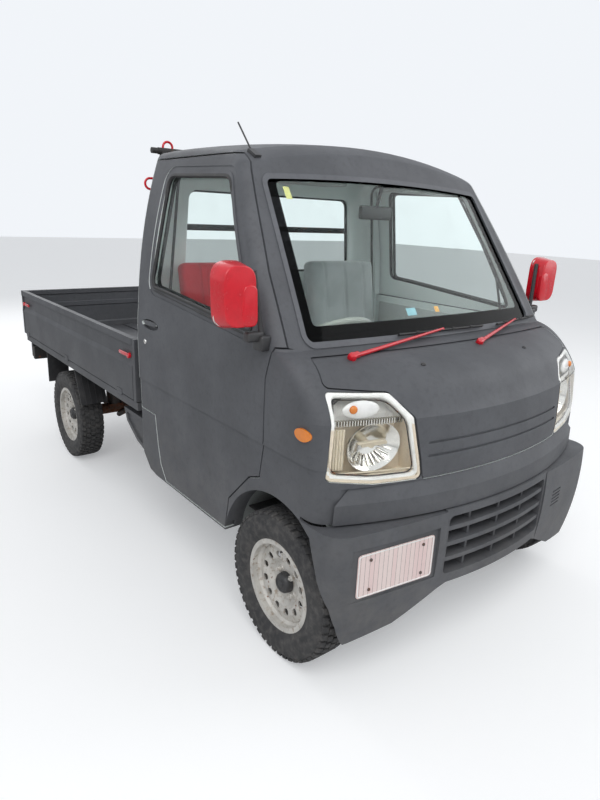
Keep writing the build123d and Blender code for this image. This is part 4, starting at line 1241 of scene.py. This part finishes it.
# Tail lenses: name, material, inner and outer edge
TAIL_LENSES = (("red", "red_lens", 0.622, 0.694), ("amber", "amber", 0.574, 0.62),
               ("clear", "clear_lens", 0.526, 0.572))


class TRUCK_OT_bed_fittings(bpy.types.Operator):
    """Gate latches, tail lamps and their lenses"""
    bl_idname = "truck.bed_fittings"
    bl_label = "Bed fittings"

    def execute(self, context):
        for end, start, stop, pivot_y in LATCHES:
            lever = box("lever", (0.7315, start, 0.846), (0.741, stop, 0.863), 0.004, 3)
            pivot = bar("pivot", (0.73, pivot_y, 0.8545), (0.744, pivot_y, 0.8545), 0.013, 0.012, 24)
            latch = join(f"gate_latch_{end}", [lever, rounded(pivot, 0.0015, 2)])
            paired(latch, "side_gate_{side}", "accent")
        housing = box("tail_lamp_housing", (0.52, 1.638, 0.48), (0.7, 1.67, 0.58), 0.006, 3)
        paired(housing, "body", "black_plastic", ["tail_lamps"])
        for name, material, start, end in TAIL_LENSES:
            lens = box(f"tail_lens_{name}", (start, 1.664, 0.487), (end, 1.6795, 0.573), 0.005, 3)
            paired(lens, "body", material, ["tail_lamps"])
        return {"FINISHED"}


# Glow of the floor in the camera's view, the world's light on the truck, and the world as it is seen
FLOOR_GLOW = 0.3
WORLD_LIGHT = 0.5
SKY_SEEN = 0.95
# Soft lamps: name, place and power; all have the same width
LAMP_WIDTH = 5.0
LAMPS = (("key", (-3.5, -4.5, 5.5), 215), ("fill", (4.5, -3.5, 3.5), 85), ("back", (0.0, 5.5, 4.5), 110))
LAMPS_AIM = (0, 0, 0.7)
# The camera: place, lens, and its turns in degrees
CAMERA_PLACE = (-1.801, -2.7545, 1.494)
CAMERA_LENS = 27.135
CAMERA_TURN = (38.63, -16.86, 2.45)


class TRUCK_OT_stage(bpy.types.Operator):
    """Pale floor, soft lights and the camera"""
    bl_idname = "truck.stage"
    bl_label = "Stage"

    def execute(self, context):
        rest()
        bpy.ops.mesh.primitive_plane_add(size=60, location=(0, 0, 0))
        floor = bpy.context.object
        floor.name = "floor"
        ground = Finish("Pale floor", (0.78, 0.78, 0.775), 0.85)
        ground.tint(ground.patches(1.2, 0.3, 0.8), (0.8, 0.8, 0.795))
        ground.set(Emission_Color=(0.95, 0.97, 1.0, 1))
        seen = ground.tree.nodes.new("ShaderNodeLightPath")
        glow = calc(ground.tree, "MULTIPLY", seen.outputs["Is Camera Ray"], FLOOR_GLOW)
        ground.tree.links.new(glow, ground.shader.inputs["Emission Strength"])
        floor.data.materials.append(ground.material)
        for name, place, power in LAMPS:
            data = bpy.data.lights.new(name, "AREA")
            data.shape = "DISK"
            data.size = LAMP_WIDTH
            data.energy = power
            lamp = add_object(name, data)
            lamp.location = place
            lamp.rotation_euler = (Vector(LAMPS_AIM) - Vector(place)).to_track_quat("-Z", "Y").to_euler()
        world = bpy.data.worlds.new("Soft studio")
        context.scene.world = world
        world.use_nodes = True
        tree = world.node_tree
        background = tree.nodes["Background"]
        background.inputs["Color"].default_value = (0.93, 0.96, 1.0, 1)
        path = tree.nodes.new("ShaderNodeLightPath")
        seen = calc(tree, "MAXIMUM", path.outputs["Is Camera Ray"], path.outputs["Is Transmission Ray"])
        seen = calc(tree, "MAXIMUM", seen, path.outputs["Is Glossy Ray"])
        level = levels(tree, seen, 0.0, 1.0, To_Min=WORLD_LIGHT, To_Max=SKY_SEEN)
        tree.links.new(level, background.inputs["Strength"])
        self.camera(context)
        context.scene.view_settings.view_transform = "Standard"
        return {"FINISHED"}

    def camera(self, context):
        """The camera at the photograph's place, fitted to the truck's known sizes."""
        yaw, pitch, roll = (math.radians(a) for a in CAMERA_TURN)
        ahead = Vector((math.sin(yaw) * math.cos(pitch), math.cos(yaw) * math.cos(pitch), math.sin(pitch)))
        level_right = Vector((math.cos(yaw), -math.sin(yaw), 0))
        level_up = level_right.cross(ahead)
        right = math.cos(roll) * level_right + math.sin(roll) * level_up
        up = math.cos(roll) * level_up - math.sin(roll) * level_right
        data = bpy.data.cameras.new("camera")
        data.lens = CAMERA_LENS
        data.sensor_width = 36
        camera = add_object("camera", data)
        turn = Matrix((right, up, -ahead)).transposed().to_4x4()
        camera.matrix_world = Matrix.Translation(CAMERA_PLACE) @ turn
        context.scene.camera = camera


class TRUCK_OT_node_finishes(bpy.types.Operator):
    """Finishes on the pieces that keep their frame shape"""
    bl_idname = "truck.node_finishes"
    bl_label = "Frame finishes"

    def execute(self, context):
        by_node = {node: key for key, nodes in NODE_FINISH.items() for node in nodes}
        for name, node in NODES.items():
            key = "wheel" if name.startswith("rim_") else "tyre" if "tyre" in name else "black_plastic"
            node.data.materials.clear()
            node.data.materials.append(MATERIALS[by_node.get(name, key)])
        return {"FINISHED"}


class TRUCK_PT_panel(bpy.types.Panel):
    """Lists the truck's pieces"""
    bl_label = "Truck"
    bl_idname = "TRUCK_PT_panel"
    bl_space_type = "VIEW_3D"
    bl_region_type = "UI"
    bl_category = "Truck"

    def draw(self, context):
        layout = self.layout
        for group in (context.scene.truck_finish, context.scene.truck_sizes):
            for name in group.bl_rna.properties.keys():
                if name not in ("rna_type", "name"):
                    layout.prop(group, name)
        for operator in PIECES:
            layout.operator(operator.bl_idname)


PIECES = (
    TRUCK_OT_node_finishes, TRUCK_OT_tyres, TRUCK_OT_wheel_fittings, TRUCK_OT_headlamps, TRUCK_OT_mirrors,
    TRUCK_OT_seals, TRUCK_OT_door_handles, TRUCK_OT_wipers, TRUCK_OT_seats, TRUCK_OT_cab_inside,
    TRUCK_OT_plate_trim, TRUCK_OT_bed_fittings, TRUCK_OT_stage,
)
CLASSES = (TruckFinish, TruckSizes, *PIECES, TRUCK_PT_panel)


def register():
    for cls in CLASSES:
        bpy.utils.register_class(cls)
    bpy.types.Scene.truck_finish = PointerProperty(type=TruckFinish)
    bpy.types.Scene.truck_sizes = PointerProperty(type=TruckSizes)


def unregister():
    del bpy.types.Scene.truck_sizes
    del bpy.types.Scene.truck_finish
    for cls in reversed(CLASSES):
        bpy.utils.unregister_class(cls)


def main():
    """Builds every piece in order."""
    register()
    make_materials()
    for operator in PIECES:
        group, name = operator.bl_idname.split(".")
        getattr(getattr(bpy.ops, group), name)()


if __name__ == "__main__":
    main()
